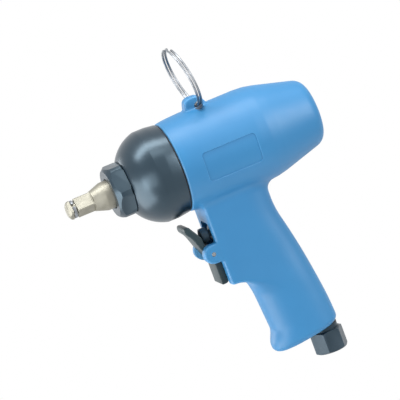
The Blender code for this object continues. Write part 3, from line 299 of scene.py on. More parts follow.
# Ends of the anvil's jaws and tail inside the case
JAW_REAR = CASE_REAR - CASE_TAIL_LENGTH + 0.0058 + FIT
JAW_FRONT = JAW_REAR + 0.0165 - 2 * FIT
TAIL_REAR = JAW_REAR - 0.0029

# Places off the axis
BLOCK_FRONT = HOUSING_FRONT - BLOCK_SETBACK
SLOT_BACK = BLOCK_FRONT - SLOT_DEPTH
PIVOT = Vector((HOUSING_FRONT - PIVOT_SETBACK, 0, -PIVOT_DROP))
FORWARD_VALVE = -PIVOT_DROP + VALVE_LEVER
REVERSE_VALVE = -PIVOT_DROP - VALVE_LEVER
INLET_X = HOUSING_FRONT - INLET_SETBACK
EXHAUST_X = HOUSING_FRONT - EXHAUST_SETBACK
TOE_X = HOUSING_FRONT - GRIP_FRONT_SETBACK
LUG_HOLE_PLACE = Vector((HOUSING_FRONT - LUG_SETBACK, 0, BARREL_RADIUS + LUG_HOLE_RISE))
INLET_SEAT = FOOT_SLOPE * (TOE_X - INLET_X) - GRIP_DROP + INLET_SINK


def arc(centre, radius, start, end, step=ARC_STEP):
    """Points on an arc, both ends included, angles from the first axis towards the second."""
    count = max(2, math.ceil(abs(end - start) / step))
    angles = [start + (end - start) * i / count for i in range(count + 1)]
    return [(centre[0] + radius * math.cos(a), centre[1] + radius * math.sin(a)) for a in angles]


def filleted(corners, closed=True):
    """A line through (a, b, radius) corners, each corner filleted; a radius of 0 or none keeps it sharp."""
    line = []
    count = len(corners)
    for i, here in enumerate(corners):
        corner = Vector(here[:2])
        radius = here[2] if len(here) > 2 else 0.0
        at_end = not closed and i in (0, count - 1)
        if not radius or at_end:
            line.append(tuple(corner))
            continue
        inward = (Vector(corners[i - 1][:2]) - corner).normalized()
        outward = (Vector(corners[(i + 1) % count][:2]) - corner).normalized()
        half = inward.angle(outward) / 2
        centre = corner + (inward + outward).normalized() * radius / math.sin(half)
        first = corner + inward * radius / math.tan(half) - centre
        last = corner + outward * radius / math.tan(half) - centre
        start = math.atan2(first.y, first.x)
        turn = (math.atan2(last.y, last.x) - start + math.pi) % (2 * math.pi) - math.pi
        line += arc(centre, radius, start, start + turn)
    return line


def rounded_rectangle(low, high, radius):
    """A rectangle between two corners, its own four corners filleted."""
    (a0, b0), (a1, b1) = low, high
    return filleted([(a0, b0, radius), (a1, b0, radius), (a1, b1, radius), (a0, b1, radius)])


TURN_TO = {
    "X": Matrix.Identity(4),
    "Y": Matrix.Rotation(math.pi / 2, 4, "Z"),
    "Z": Matrix.Rotation(-math.pi / 2, 4, "Y"),
}


def turned(profile, steps=ROUND_STEPS, ring=False, axis="X", place=(0, 0, 0)):
    """A body turned about an axis through place, from (distance along it, radius) points."""
    bm = bmesh.new()
    verts = [bm.verts.new((point[0], 0, point[1])) for point in profile]
    ends = verts[1:] + verts[:1] if ring else verts[1:]
    edges = [bm.edges.new(pair) for pair in zip(verts, ends)]
    bmesh.ops.spin(
        bm,
        geom=verts + edges,
        cent=(0, 0, 0),
        axis=(1, 0, 0),
        angle=2 * math.pi,
        steps=steps,
        use_merge=True,
    )
    bmesh.ops.remove_doubles(bm, verts=bm.verts, dist=WELD)
    bmesh.ops.recalc_face_normals(bm, faces=bm.faces)
    bmesh.ops.transform(bm, matrix=Matrix.Translation(place) @ TURN_TO[axis], verts=bm.verts)
    return bm


def rod(low, high, radius, edge=0.0, steps=SMALL_STEPS, axis="X", place=(0, 0, 0)):
    """A round bar with its two rims eased by edge."""
    profile = filleted([(low, 0), (low, radius, edge), (high, radius, edge), (high, 0)], closed=False)
    return turned(profile, steps, axis=axis, place=place)


PLANES = {
    "XZ": lambda a, b, depth: (a, depth, b),
    "YZ": lambda a, b, depth: (depth, a, b),
    "XY": lambda a, b, depth: (a, b, depth),
}


def prism(outline, low, high, plane="XZ", edge=0.0, segments=4, matrix=None):
    """An outline drawn on a plane and extruded square to it, its two rims rounded by edge."""
    place = PLANES[plane]
    bm = bmesh.new()
    face = bm.faces.new([bm.verts.new(place(a, b, low)) for a, b in outline])
    made = bmesh.ops.extrude_face_region(bm, geom=[face])["geom"]
    moved = [item for item in made if isinstance(item, bmesh.types.BMVert)]
    bmesh.ops.translate(bm, verts=moved, vec=place(0, 0, high - low))
    bmesh.ops.recalc_face_normals(bm, faces=bm.faces)
    if edge:
        sides = {f for f in bm.faces if len(f.verts) == 4}
        rims = [e for f in bm.faces if f not in sides for e in f.edges]
        bmesh.ops.bevel(bm, geom=rims, offset=edge, segments=segments, profile=0.5, affect="EDGES")
    if matrix:
        bmesh.ops.transform(bm, matrix=matrix, verts=bm.verts)
    return bm


def hexagon(flats, edge):
    """A hexagon with its six corners eased by edge."""
    radius = flats / math.sqrt(3)
    angles = [math.radians(60 * i) for i in range(6)]
    return filleted([(radius * math.cos(a), radius * math.sin(a), edge) for a in angles])


def loft(rings):
    """A closed body through rings of equally many points, its first and last ring capped."""
    bm = bmesh.new()
    loops = [[bm.verts.new(point) for point in ring] for ring in rings]
    for upper, lower in zip(loops, loops[1:]):
        for i in range(len(upper)):
            following = (i + 1) % len(upper)
            bm.faces.new((upper[i], upper[following], lower[following], lower[i]))
    bm.faces.new(loops[0])
    bm.faces.new(loops[-1])
    bmesh.ops.remove_doubles(bm, verts=bm.verts, dist=WELD)
    bmesh.ops.recalc_face_normals(bm, faces=bm.faces)
    return bm


def body(name, *parts):
    """One mesh object at the origin from one or more bmeshes."""
    mesh = bpy.data.meshes.new(name)
    whole = bmesh.new()
    for part in parts:
        part.to_mesh(mesh)
        part.free()
        whole.from_mesh(mesh)
    whole.to_mesh(mesh)
    whole.free()
    obj = bpy.data.objects.new(name, mesh)
    bpy.context.scene.collection.objects.link(obj)
    return obj


def settle(obj):
    """Turns what the modifiers make into the object's own mesh."""
    graph = bpy.context.evaluated_depsgraph_get()
    mesh = bpy.data.meshes.new_from_object(obj.evaluated_get(graph))
    obj.modifiers.clear()
    obj.data = mesh
    return obj


def combine(target, others, operation, solver="EXACT"):
    """Joins bmeshes to a body, cuts them away or keeps only what lies inside them."""
    helpers = [body(f"{target.name}_{operation.lower()}_{i}", other) for i, other in enumerate(others)]
    for helper in helpers:
        modifier = target.modifiers.new(helper.name, "BOOLEAN")
        modifier.operation = operation
        modifier.solver = solver
        modifier.object = helper
    settle(target)
    for helper in helpers:
        bpy.data.objects.remove(helper)
    return target


def smooth(value):
    """Eases from 0 to 1 as value goes from 0 to 1."""
    value = min(max(value, 0.0), 1.0)
    return value * value * (3 - 2 * value)


def mark_edges(mesh):
    """Stores how far each point stands out from its neighbours: over 0.5 on outer edges, below in corners."""
    count = len(mesh.vertices)
    place = np.empty(3 * count, np.float32)
    mesh.vertices.foreach_get("co", place)
    place = place.reshape(-1, 3).astype(float)
    normal = np.empty(3 * count, np.float32)
    mesh.vertices.foreach_get("normal", normal)
    ends = np.empty(2 * len(mesh.edges), np.int32)
    mesh.edges.foreach_get("vertices", ends)
    ends = np.vstack((ends.reshape(-1, 2), ends.reshape(-1, 2)[:, ::-1]))
    away = place[ends[:, 1]] - place[ends[:, 0]]
    away /= np.maximum(np.linalg.norm(away, axis=1, keepdims=True), WELD)
    lean = (away * normal.reshape(-1, 3)[ends[:, 0]]).sum(axis=1)
    number = np.maximum(np.bincount(ends[:, 0], minlength=count), 1)
    level = np.arccos(np.clip(np.bincount(ends[:, 0], lean, count) / number, -1, 1)) / math.pi
    level = (level + np.bincount(ends[:, 0], level[ends[:, 1]], count)) / (number + 1)
    mesh.attributes.new(EDGE_LEVEL, "FLOAT", "POINT").data.foreach_set("value", level.astype(np.float32))


def hand_over(obj, finish, ride_on, *replaced, crease=CREASE):
    """Finishes a piece: merged, smooth but for its creases, painted and set in place of its CAD nodes.

    ride_on is a body the piece is attached to; two bodies and the points between them are not used, and the
    piece then stays fixed where it is."""
    bm = bmesh.new()
    bm.from_mesh(obj.data)
    bmesh.ops.remove_doubles(bm, verts=bm.verts, dist=WELD)
    bm.to_mesh(obj.data)
    bm.free()
    obj.data.shade_smooth()
    obj.data.set_sharp_from_angle(angle=crease)
    mark_edges(obj.data)
    obj.data.materials.clear()
    obj.data.materials.append(FINISHES[finish])
    if isinstance(ride_on, str):
        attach(obj, ride_on)
    else:
        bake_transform(obj)
    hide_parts(*replaced)


def srgb(red, green, blue):
    """Linear colour of an sRGB triple from 0 to 255."""
    def linear(level):
        share = level / 255
        return share / 12.92 if share <= 0.04045 else ((share + 0.055) / 1.055) ** 2.4
    return (linear(red), linear(green), linear(blue), 1.0)


# Tint of the paint's reflections, and what a soft drift of tone takes from its noise
BLUED = srgb(206, 236, 255)
CLOUD_LOW = 0.35
CLOUD_HIGH = 0.65

# Sockets of a colour Mix node, whose names repeat
MIX_FIRST = 6
MIX_SECOND = 7
MIX_RESULT = 2


class Finish:
    """A procedural material in the making: a Principled shader and what feeds it."""

    def __init__(self, name, **constants):
        self.material = bpy.data.materials.new(name)
        self.material.use_nodes = True
        self.tree = self.material.node_tree
        self.shader = self.tree.nodes["Principled BSDF"]
        for socket, value in constants.items():
            self.shader.inputs[socket.replace("_", " ")].default_value = value
        self.place = self.node("ShaderNodeTexCoord").outputs["Object"]

    def node(self, kind, **settings):
        """A new node of the material's tree."""
        made = self.tree.nodes.new(kind)
        for key, value in settings.items():
            setattr(made, key, value)
        return made

    def feed(self, socket, source):
        """Links a node's output to one of the shader's inputs."""
        self.tree.links.new(source, self.shader.inputs[socket])

    def stretched(self, scale, turn=(0, 0, 0)):
        """Object coordinates, turned and scaled differently along each axis."""
        mapping = self.node("ShaderNodeMapping")
        mapping.inputs["Scale"].default_value = scale
        mapping.inputs["Rotation"].default_value = turn
        self.tree.links.new(self.place, mapping.inputs["Vector"])
        return mapping.outputs["Vector"]

    def noise(self, scale, detail=3.0, roughness=0.5, place=None):
        """A drifting level from 0 to 1."""
        texture = self.node("ShaderNodeTexNoise")
        texture.inputs["Scale"].default_value = scale
        texture.inputs["Detail"].default_value = detail
        texture.inputs["Roughness"].default_value = roughness
        self.tree.links.new(place or self.place, texture.inputs["Vector"])
        return texture.outputs["Fac"]

    def cells(self, scale):
        """Distance from the middle of scattered grains."""
        texture = self.node("ShaderNodeTexVoronoi")
        texture.inputs["Scale"].default_value = scale
        self.tree.links.new(self.place, texture.inputs["Vector"])
        return texture.outputs["Distance"]

    def spread(self, source, low, high, start=0.0, end=1.0):
        """Maps a factor from start..end to low..high, clamped."""
        span = self.node("ShaderNodeMapRange")
        for socket, value in (("From Min", start), ("From Max", end), ("To Min", low), ("To Max", high)):
            span.inputs[socket].default_value = value
        self.tree.links.new(source, span.inputs["Value"])
        return span.outputs["Result"]

    def mix(self, factor, first, second):
        """A colour between two colours or outputs, by a factor."""
        blend = self.node("ShaderNodeMix", data_type="RGBA")
        self.tree.links.new(factor, blend.inputs["Factor"])
        for number, value in ((MIX_FIRST, first), (MIX_SECOND, second)):
            socket = blend.inputs[number]
            if isinstance(value, bpy.types.NodeSocket):
                self.tree.links.new(value, socket)
            else:
                socket.default_value = value
        return blend.outputs[MIX_RESULT]

    def bump(self, height, distance, strength=1.0, below=None):
        """A relief of the given depth in metres, laid over an earlier one."""
        relief = self.node("ShaderNodeBump")
        relief.inputs["Strength"].default_value = strength
        relief.inputs["Distance"].default_value = distance
        self.tree.links.new(height, relief.inputs["Height"])
        if below:
            self.tree.links.new(below, relief.inputs["Normal"])
        return relief.outputs["Normal"]

    def painted_edge_highlight(self, start=0.53, end=0.62):
        """1 on outer edges, which are painted paler as a highlight, 0 on open faces."""
        # Outer edges found from the mesh get a paler colour: a painted highlight.
        level = self.node("ShaderNodeAttribute", attribute_name=EDGE_LEVEL)
        return self.spread(level.outputs["Fac"], 0.0, 1.0, start, end)

    def clouded(self, scale, first, second):
        """A colour that drifts softly between two tones."""
        drift = self.spread(self.noise(scale, detail=4.0), 0.0, 1.0, CLOUD_LOW, CLOUD_HIGH)
        return self.mix(drift, first, second)


def blue_moulding():
    """Satin moulded polymer: a faint drift of tone, a fine spark-eroded grain, outer edges painted paler as a
    highlight.
    """
    finish = Finish("blue_moulding", IOR=1.5, Specular_IOR_Level=0.6)
    tone = finish.clouded(30.0, srgb(42, 120, 172), srgb(46, 124, 176))
    # Outer edges painted a paler blue: a painted highlight.
    finish.feed("Base Color", finish.mix(finish.painted_edge_highlight(0.515, 0.57), tone, srgb(96, 164, 214)))
    finish.feed("Roughness", finish.spread(finish.noise(180.0), 0.43, 0.51))
    finish.feed("Normal", finish.bump(finish.noise(2200.0, 2.0, 0.6), 0.00003, 0.35))
    return finish.material


def dark_case_paint():
    """Dark blue-grey semi-gloss paint with a slight orange peel, its outer edges painted brighter as a
    highlight.
    """
    finish = Finish("dark_case_paint", IOR=1.5, Specular_IOR_Level=0.88, Specular_Tint=BLUED)
    tone = finish.clouded(45.0, srgb(8, 24, 35), srgb(13, 29, 40))
    # Outer edges painted a paler grey: a painted highlight.
    finish.feed("Base Color", finish.mix(finish.painted_edge_highlight(), tone, srgb(78, 94, 104)))
    finish.feed("Roughness", finish.spread(finish.noise(240.0), 0.26, 0.32))
    finish.feed("Normal", finish.bump(finish.noise(900.0, 2.0), 0.00004, 0.25))
    return finish.material


def nickel_steel():
    """Warm nickel plating over a ground drive: fine lines along it and faint yellowing."""
    finish = Finish("nickel_steel", Metallic=1.0)
    finish.feed("Base Color", finish.clouded(160.0, srgb(142, 140, 129), srgb(154, 152, 141)))
    lines = finish.noise(1.0, 2.0, 0.5, finish.stretched((120.0, 1400.0, 1400.0)))
    finish.feed("Roughness", finish.spread(lines, 0.46, 0.52))
    finish.feed("Normal", finish.bump(lines, 0.000001, 0.2))
    return finish.material


def ground_steel():
    """Plain steel, ground fine, with a light film of oil."""
    finish = Finish("ground_steel", Metallic=1.0)
    finish.feed("Base Color", finish.clouded(120.0, srgb(126, 132, 138), srgb(148, 153, 158)))
    lines = finish.noise(1.0, 3.0, 0.6, finish.stretched((3000.0, 400.0, 400.0)))
    finish.feed("Roughness", finish.spread(lines, 0.24, 0.38))
    finish.feed("Normal", finish.bump(lines, 0.00002, 0.3))
    return finish.material


def bright_wire():
    """Bright drawn wire with a satin skin and faint die marks."""
    finish = Finish("bright_wire", Metallic=1.0)
    finish.feed("Base Color", finish.clouded(300.0, srgb(128, 132, 137), srgb(146, 150, 155)))
    finish.feed("Roughness", finish.spread(finish.noise(500.0), 0.34, 0.42))
    finish.feed("Normal", finish.bump(finish.noise(900.0), 0.000001, 0.2))
    return finish.material


def trigger_plastic():
    """Dark green-grey nylon, satin, with a fine grain, its outer edges painted paler as a highlight."""
    finish = Finish("trigger_plastic", IOR=1.5, Specular_IOR_Level=0.35)
    tone = finish.clouded(60.0, srgb(30, 49, 55), srgb(37, 56, 62))
    # Outer edges painted a paler grey-green: a painted highlight.
    finish.feed("Base Color", finish.mix(finish.painted_edge_highlight(), tone, srgb(84, 98, 95)))
    finish.feed("Roughness", finish.spread(finish.noise(260.0), 0.34, 0.46))
    finish.feed("Normal", finish.bump(finish.noise(1800.0, 2.0), 0.00003, 0.35))
    return finish.material


def dark_inlet_paint():
    """Dark blackened bushing, semi-gloss, its corners painted brighter as a highlight."""
    finish = Finish("dark_inlet_paint", IOR=1.5, Specular_IOR_Level=0.45, Specular_Tint=BLUED)
    tone = finish.clouded(70.0, srgb(20, 33, 42), srgb(26, 39, 48))
    # Outer edges and corners painted a paler grey: a painted highlight.
    finish.feed("Base Color", finish.mix(finish.painted_edge_highlight(), tone, srgb(92, 106, 118)))
    finish.feed("Roughness", finish.spread(finish.noise(260.0), 0.3, 0.4))
    finish.feed("Normal", finish.bump(finish.noise(1100.0, 2.0), 0.00004, 0.3))
    return finish.material


def valve_plastic():
    """Blue-grey acetal with a faint sheen."""
    finish = Finish("valve_plastic", IOR=1.48, Specular_IOR_Level=0.3)
    finish.feed("Base Color", finish.clouded(90.0, srgb(88, 110, 122), srgb(96, 118, 130)))
    finish.feed("Roughness", finish.spread(finish.noise(300.0), 0.34, 0.46))
    finish.feed("Normal", finish.bump(finish.noise(1600.0), 0.00002, 0.3))
    return finish.material


def seal_rubber():
    """Matt black nitrile."""
    finish = Finish("seal_rubber", IOR=1.5)
    finish.feed("Base Color", finish.clouded(120.0, srgb(26, 26, 27), srgb(34, 34, 35)))
    finish.feed("Roughness", finish.spread(finish.noise(400.0), 0.6, 0.75))
    finish.feed("Normal", finish.bump(finish.noise(1400.0), 0.00003, 0.4))
    return finish.material


def sintered_bronze():
    """Pressed bronze powder: warm grains with open pores."""
    finish = Finish("sintered_bronze", Metallic=1.0)
    grains = finish.cells(1600.0)
    finish.feed("Base Color", finish.mix(grains, srgb(186, 146, 96), srgb(120, 86, 50)))
    finish.feed("Roughness", finish.spread(grains, 0.4, 0.65))
    finish.feed("Normal", finish.bump(grains, 0.0001, -0.5))
    return finish.material


def vane_fibre():
    """Cloth-laminate vane: brown resin with crossing threads."""
    finish = Finish("vane_fibre", IOR=1.5)
    threads = finish.noise(1.0, 2.0, 0.5, finish.stretched((400.0, 2600.0, 2600.0)))
    finish.feed("Base Color", finish.mix(threads, srgb(118, 82, 52), srgb(88, 58, 34)))
    finish.feed("Roughness", finish.spread(threads, 0.5, 0.68))
    finish.feed("Normal", finish.bump(threads, 0.00003, 0.4))
    return finish.material


def porous_muffler():
    """Sintered grey polymer: round grains fused with open pores between them."""
    finish = Finish("porous_muffler", IOR=1.45)
    grains = finish.cells(1300.0)
    finish.feed("Base Color", finish.mix(grains, srgb(138, 138, 134), srgb(70, 70, 68)))
    finish.feed("Roughness", finish.spread(grains, 0.75, 0.95))
    finish.feed("Normal", finish.bump(grains, 0.00025, -0.8))
    return finish.material


FINISH_MAKERS = (
    blue_moulding,
    dark_case_paint,
    nickel_steel,
    ground_steel,
    bright_wire,
    trigger_plastic,
    dark_inlet_paint,
    valve_plastic,
    seal_rubber,
    sintered_bronze,
    vane_fibre,
    porous_muffler,
)
FINISHES = {maker.__name__: maker() for maker in FINISH_MAKERS}


def barrel_outline():
    """Outer line of the barrel from its front edge to the middle of its rounded rear end."""
    swell_middle = HOUSING_FRONT - BARREL_SWELL_LENGTH / 3
    swell_rear = HOUSING_FRONT - BARREL_SWELL_LENGTH
    cone_front = HOUSING_REAR + BARREL_CONE_LENGTH
    mouth = BARREL_RADIUS - BARREL_FRONT_DROP
    return filleted(
        [
            (HOUSING_FRONT, 0),
            (HOUSING_FRONT, mouth, BARREL_LIP_ROUND),
            (swell_middle, BARREL_RADIUS - BARREL_FRONT_DROP / 2.5, BARREL_LENGTH / 2),
            (swell_rear, BARREL_RADIUS, 2 * BARREL_LENGTH),
            (cone_front, BARREL_RADIUS, BARREL_LENGTH / 2),
            (HOUSING_REAR, BARREL_RADIUS - BARREL_CONE_DROP, BARREL_REAR_ROUND),
            (HOUSING_REAR, 0),
        ],
        closed=False,
    )


def foot_level(x):
    """Z of the sloping foot of the grip, which rises towards the heel."""
    return FOOT_SLOPE * (TOE_X - x) - GRIP_DROP


def front_line(drop):
    """X of the grip's front: trigger block, rounded lower edge, hollow underside, finger side and toe."""
    below = (drop - BLOCK_DROP) / (GRIP_DROP - BLOCK_DROP)
    toe = smooth((drop - GRIP_DROP + GRIP_TOE_HEIGHT) / (GRIP_TOE_HEIGHT * GRIP_TOE_RISE))
    finger_side = TOE_X - GRIP_FRONT_LEAN * below + GRIP_TOE * toe
    rounding = min(max(1 + (drop - BLOCK_DROP) / BLOCK_EDGE, 0.0), 1.0)
    block_front = BLOCK_FRONT - BLOCK_EDGE * (1 - math.sqrt(1 - rounding * rounding))
    hollow = min(max((drop - BLOCK_DROP) / BLOCK_UNDERSIDE, 0.0), 1.0)
    return block_front + (finger_side - block_front) * math.sqrt(hollow * (2 - hollow))


def grip_section(drop):
    """Front x, back x, half width and front power of the grip's section at a drop below the axis."""
    down = (drop - BARREL_RADIUS) / (GRIP_DROP - BARREL_RADIUS)
    back = HOUSING_FRONT - GRIP_BACK_SETBACK - GRIP_BACK_LEAN * down + GRIP_BACK_CURL * down * down
    flare = max(1 - (drop - BARREL_RADIUS - BACK_FILLET) / GRIP_FLARE_HEIGHT, 0.0)
    back -= GRIP_BACK_FLARE * flare * flare
    widen = smooth((drop - BLOCK_DROP + 2 * BLOCK_UNDERSIDE) / (4 * BLOCK_UNDERSIDE))
    half_width = BLOCK_HALF_WIDTH + (GRIP_HALF_WIDTH - BLOCK_HALF_WIDTH) * widen
    rounder = smooth((drop - BLOCK_DROP) / (2 * BLOCK_UNDERSIDE))
    power = 1 / ((1 - rounder) / BLOCK_POWER + rounder / GRIP_POWER)
    return front_line(drop), back, half_width, power


def section_loop(drop, inset_front=0.0, inset_back=0.0):
    """Points and outward normals of the section: a squarer front half and a rounder back half."""
    front, back, half_width, power = grip_section(drop)
    middle = back + GRIP_BACK_DEPTH
    side = half_width - inset_front
    tilt = smooth(1 + (drop - GRIP_DROP) / FOOT_HEIGHT)
    loop = []
    for i in range(LOOP_POINTS):
        angle = 2 * math.pi * i / LOOP_POINTS
        cosine, sine = math.cos(angle), math.sin(angle)
        ahead = cosine >= 0
        reach = front - inset_front - middle if ahead else middle - back - inset_back
        exponent = power if ahead else GRIP_POWER
        along = math.copysign(abs(cosine) ** (2 / exponent), cosine)
        across = math.copysign(abs(sine) ** (2 / exponent), sine)
        lean = math.copysign(abs(along) ** (exponent - 1), along) / reach
        slope = math.copysign(abs(across) ** (exponent - 1), across) / side
        x = middle + reach * along
        rise = tilt * (foot_level(x) + GRIP_DROP)
        loop.append((Vector((x, side * across, rise - drop)), Vector((lean, slope, 0)).normalized()))
    return loop


def fillet_radius(normal):
    """Fillet between grip and barrel: small in front, larger at the back and largest at the sides."""
    end = FRONT_FILLET if normal.x > 0 else BACK_FILLET
    return end + (SIDE_FILLET - end) * smooth(1 - abs(normal.x))


def fillet_rings():
    """Rings of the rolling-ball fillet from the barrel down to the grip's wall, led by one inside."""
    barrel = BARREL_RADIUS - FILLET_BITE
    rings = [[] for _ in range(FILLET_RINGS + 2)]
    for point, normal in section_loop(BARREL_RADIUS + BACK_FILLET):
        radius = fillet_radius(normal)
        centre = point + normal * radius
        centre.z = -math.sqrt((barrel + radius) ** 2 - centre.y**2)
        to_barrel = -Vector((0, centre.y, centre.z)).normalized()
        for i in range(FILLET_RINGS + 1):
            direction = (-normal).slerp(to_barrel, i / FILLET_RINGS)
            rings[i].append(centre + direction * radius)
        inside = rings[FILLET_RINGS][-1].copy()
        inside.z *= FILLET_ROOT_DEPTH
        inside.y *= FILLET_ROOT_WIDTH
        rings[-1].append(inside)
    return rings[::-1]


def grip_and_block():
    """Grip and trigger block lofted from below the barrel down to the rounded foot."""
    rings = fillet_rings()
    top = BARREL_RADIUS + BACK_FILLET + SIDE_FILLET / 2
    foot_top = GRIP_DROP - GRIP_BOTTOM_ROUND
    drops = [top + (BLOCK_DROP - BLOCK_EDGE - top) * i / BLOCK_RINGS for i in range(BLOCK_RINGS + 1)]
    for i in range(1, BLOCK_EDGE_RINGS + 1):
        drops.append(BLOCK_DROP - BLOCK_EDGE * (1 - math.sin(math.pi / 2 * i / BLOCK_EDGE_RINGS)))
    for i in range(1, UNDERSIDE_RINGS + 1):
        drops.append(BLOCK_DROP + BLOCK_UNDERSIDE * (i / UNDERSIDE_RINGS) ** 2)
    drops += [drops[-1] + (foot_top - drops[-1]) * i / GRIP_RINGS for i in range(1, GRIP_RINGS)]
    rings += [[point for point, _ in section_loop(drop)] for drop in drops]
    for i in range(FOOT_RINGS + 1):
        turn = math.pi / 2 * i / FOOT_RINGS
        drop = foot_top + GRIP_BOTTOM_ROUND * math.sin(turn)
        inset_front = GRIP_BOTTOM_ROUND * (1 - math.cos(turn))
        inset_back = GRIP_HEEL_ROUND * (1 - math.cos(turn))
        rings.append([point for point, _ in section_loop(drop, inset_front, inset_back)])
    return loft(rings)


def ring_lug():
    """Lug on top of the barrel: steep in front, sloping behind."""
    hole = LUG_HOLE_PLACE
    top = BARREL_RADIUS + LUG_HEIGHT
    root = BARREL_RADIUS - BARREL_WALL / 2
    shoulder = LUG_HOLE + LUG_EDGE
    outline = filleted(
        [
            (hole.x + LUG_FRONT + LUG_EDGE, root, LUG_EDGE),
            (hole.x + LUG_FRONT - LUG_EDGE, top, LUG_HEIGHT * 0.6),
            (hole.x - LUG_EDGE, top, LUG_HEIGHT / 2),
            (hole.x - shoulder, BARREL_RADIUS + LUG_HEIGHT * 0.6, LUG_HEIGHT / 3),
            (hole.x - LUG_REAR - LUG_EDGE, root, LUG_EDGE),
        ]
    )
    return prism(outline, -LUG_THICKNESS / 2, LUG_THICKNESS / 2, "XZ", LUG_EDGE)


def trigger_ears():
    """Round-nosed block that the slot divides into the two trigger ears."""
    inside = SLOT_BACK - CUT_PAST
    nose = arc((PIVOT.x, PIVOT.z), EAR_RADIUS, -math.pi / 2, math.pi / 2)
    outline = [(inside, PIVOT.z - EAR_RADIUS), *nose, (inside, PIVOT.z + EAR_RADIUS)]
    half = BLOCK_HALF_WIDTH - SEAT
    return prism(outline, -half, half, "XZ", EAR_EDGE)


def finely(outline, spacing):
    """The same closed outline with points no further apart than spacing."""
    fine = []
    for here, after in zip(outline, outline[1:] + outline[:1]):
        run = Vector(after) - Vector(here)
        count = max(1, math.ceil(run.length / spacing))
        fine += [tuple(Vector(here) + run * i / count) for i in range(count)]
    return fine


def plate_recess():
    """Shallow recess wrapped round the barrel's left side, its walls drafted."""
    half_length, half_height = PLATE_LENGTH / 2, PLATE_HEIGHT / 2
    border = rounded_rectangle((-half_length, -half_height), (half_length, half_height), PLATE_ROUND)
    outline = finely(border, PLATE_SPACING)
    middle = HOUSING_FRONT - PLATE_SETBACK - half_length
    turn = math.asin(-PLATE_DROP / BARREL_RADIUS)
    above, below = BARREL_RADIUS + PLATE_DEPTH, BARREL_RADIUS - PLATE_DEPTH
    shares = [i / PLATE_RINGS for i in range(1, PLATE_RINGS)]
    levels = [(share, 0.0, above) for share in shares]
    levels += [(1.0, PLATE_DRAFT, above), (1.0, -PLATE_DRAFT, below)]
    levels += [(share, 0.0, below) for share in reversed(shares)]
    rings = []
    for share, grow, radius in levels:
        ring = []
        for along, around in outline:
            along *= share + grow / half_length
            angle = turn + around * (share + grow / half_height) / BARREL_RADIUS
            ring.append((middle + along, radius * math.cos(angle), radius * math.sin(angle)))
        rings.append(ring)
    return loft(rings)


def trigger_slot():
    """Slot between the ears that the trigger rocks in, open below the block."""
    low = (-SLOT_HALF_WIDTH, -BLOCK_DROP - SLOT_ROUND - CUT_PAST)
    high = (SLOT_HALF_WIDTH, -SLOT_TOP_DROP)
    outline = rounded_rectangle(low, high, SLOT_ROUND)
    return prism(outline, SLOT_BACK, PIVOT.x + 2 * EAR_RADIUS, "YZ")


def valve_floor():
    """X of the blind end of the valve bores."""
    return stem_collar_rear() - SPRING_LENGTH - 2 * SEAT


def stem_collar_rear():
    """X of the rear face of a stem's collar, which has its outward travel in front of it."""
    return SLOT_BACK - VALVE_BUSH_LENGTH / 2 - VALVE_TRAVEL - FIT - STEM_COLLAR


def valve_bore(level):
    """Blind bore behind the slot for one valve."""
    return rod(valve_floor(), SLOT_BACK + FIT / 2, VALVE_BUSH_RADIUS + FIT, place=(0, 0, level))


def inlet_bore():
    """Bore for the inlet's shank, with a counterbore for its neck that opens at the foot."""
    neck = INLET_NECK_RADIUS + FIT
    shank = INLET_SHANK_RADIUS + FIT
    top = INLET_SEAT + INLET_SHANK_LENGTH
    low = -GRIP_DROP - CUT_PAST
    profile = [(low, 0), (low, neck), (INLET_SEAT, neck), (INLET_SEAT, shank), (top, shank), (top, 0)]
    return turned(profile, SMALL_STEPS, axis="Z", place=(INLET_X, 0, 0))


def exhaust_pocket():
    """Round-cornered pocket in the foot, in front of the inlet, for the muffler."""
    half_length, half_width = EXHAUST_LENGTH / 2, EXHAUST_WIDTH / 2
    outline = rounded_rectangle((-half_length, -half_width), (half_length, half_width), half_width * 0.6)
    place = Matrix.Translation((EXHAUST_X, 0, 0))
    return prism(outline, -GRIP_DROP - CUT_PAST, -GRIP_DROP + EXHAUST_DEPTH, "XY", matrix=place)


def flared_hole(radius, half_length, flare, place):
    """A hole across the tool that opens out by flare at its mouths and runs on beyond them as a groove."""
    past = 3 * half_length
    rim = radius + flare
    profile = [(-past, 0), (-past, rim), (-half_length, rim), (flare - half_length, radius)]
    profile += [(-along, reach) for along, reach in reversed(profile)]
    return turned(profile, SMALL_STEPS, axis="Y", place=place)


def make_housing():
    """One-piece moulding: its forms flow into one another, then the recesses are cut crisp."""
    housing = body("housing_moulding", turned(barrel_outline()), grip_and_block(), trigger_ears(), ring_lug())
    remesh = housing.modifiers.new("flow_together", "REMESH")
    remesh.mode = "VOXEL"
    remesh.voxel_size = MOULD_VOXEL
    soften = housing.modifiers.new("soften", "SMOOTH")
    soften.factor = MOULD_SOFTNESS
    soften.iterations = MOULD_SOFTENING
    settle(housing)
    pin_reach = BLOCK_HALF_WIDTH + CUT_PAST
    cuts = [
        rod(CAVITY_REAR, HOUSING_FRONT + CUT_PAST, CAVITY_RADIUS, steps=ROUND_STEPS),
        trigger_slot(),
        valve_bore(FORWARD_VALVE),
        valve_bore(REVERSE_VALVE),
        rod(-pin_reach, pin_reach, PIN_RADIUS + SEAT, axis="Y", place=PIVOT),
        inlet_bore(),
        exhaust_pocket(),
        plate_recess(),
        flared_hole(LUG_HOLE, LUG_THICKNESS / 2, FIT, LUG_HOLE_PLACE),
    ]
    combine(housing, cuts, "DIFFERENCE", "MANIFOLD")
    hand_over(housing, "blue_moulding", "housing", "motor_housing")


make_housing()


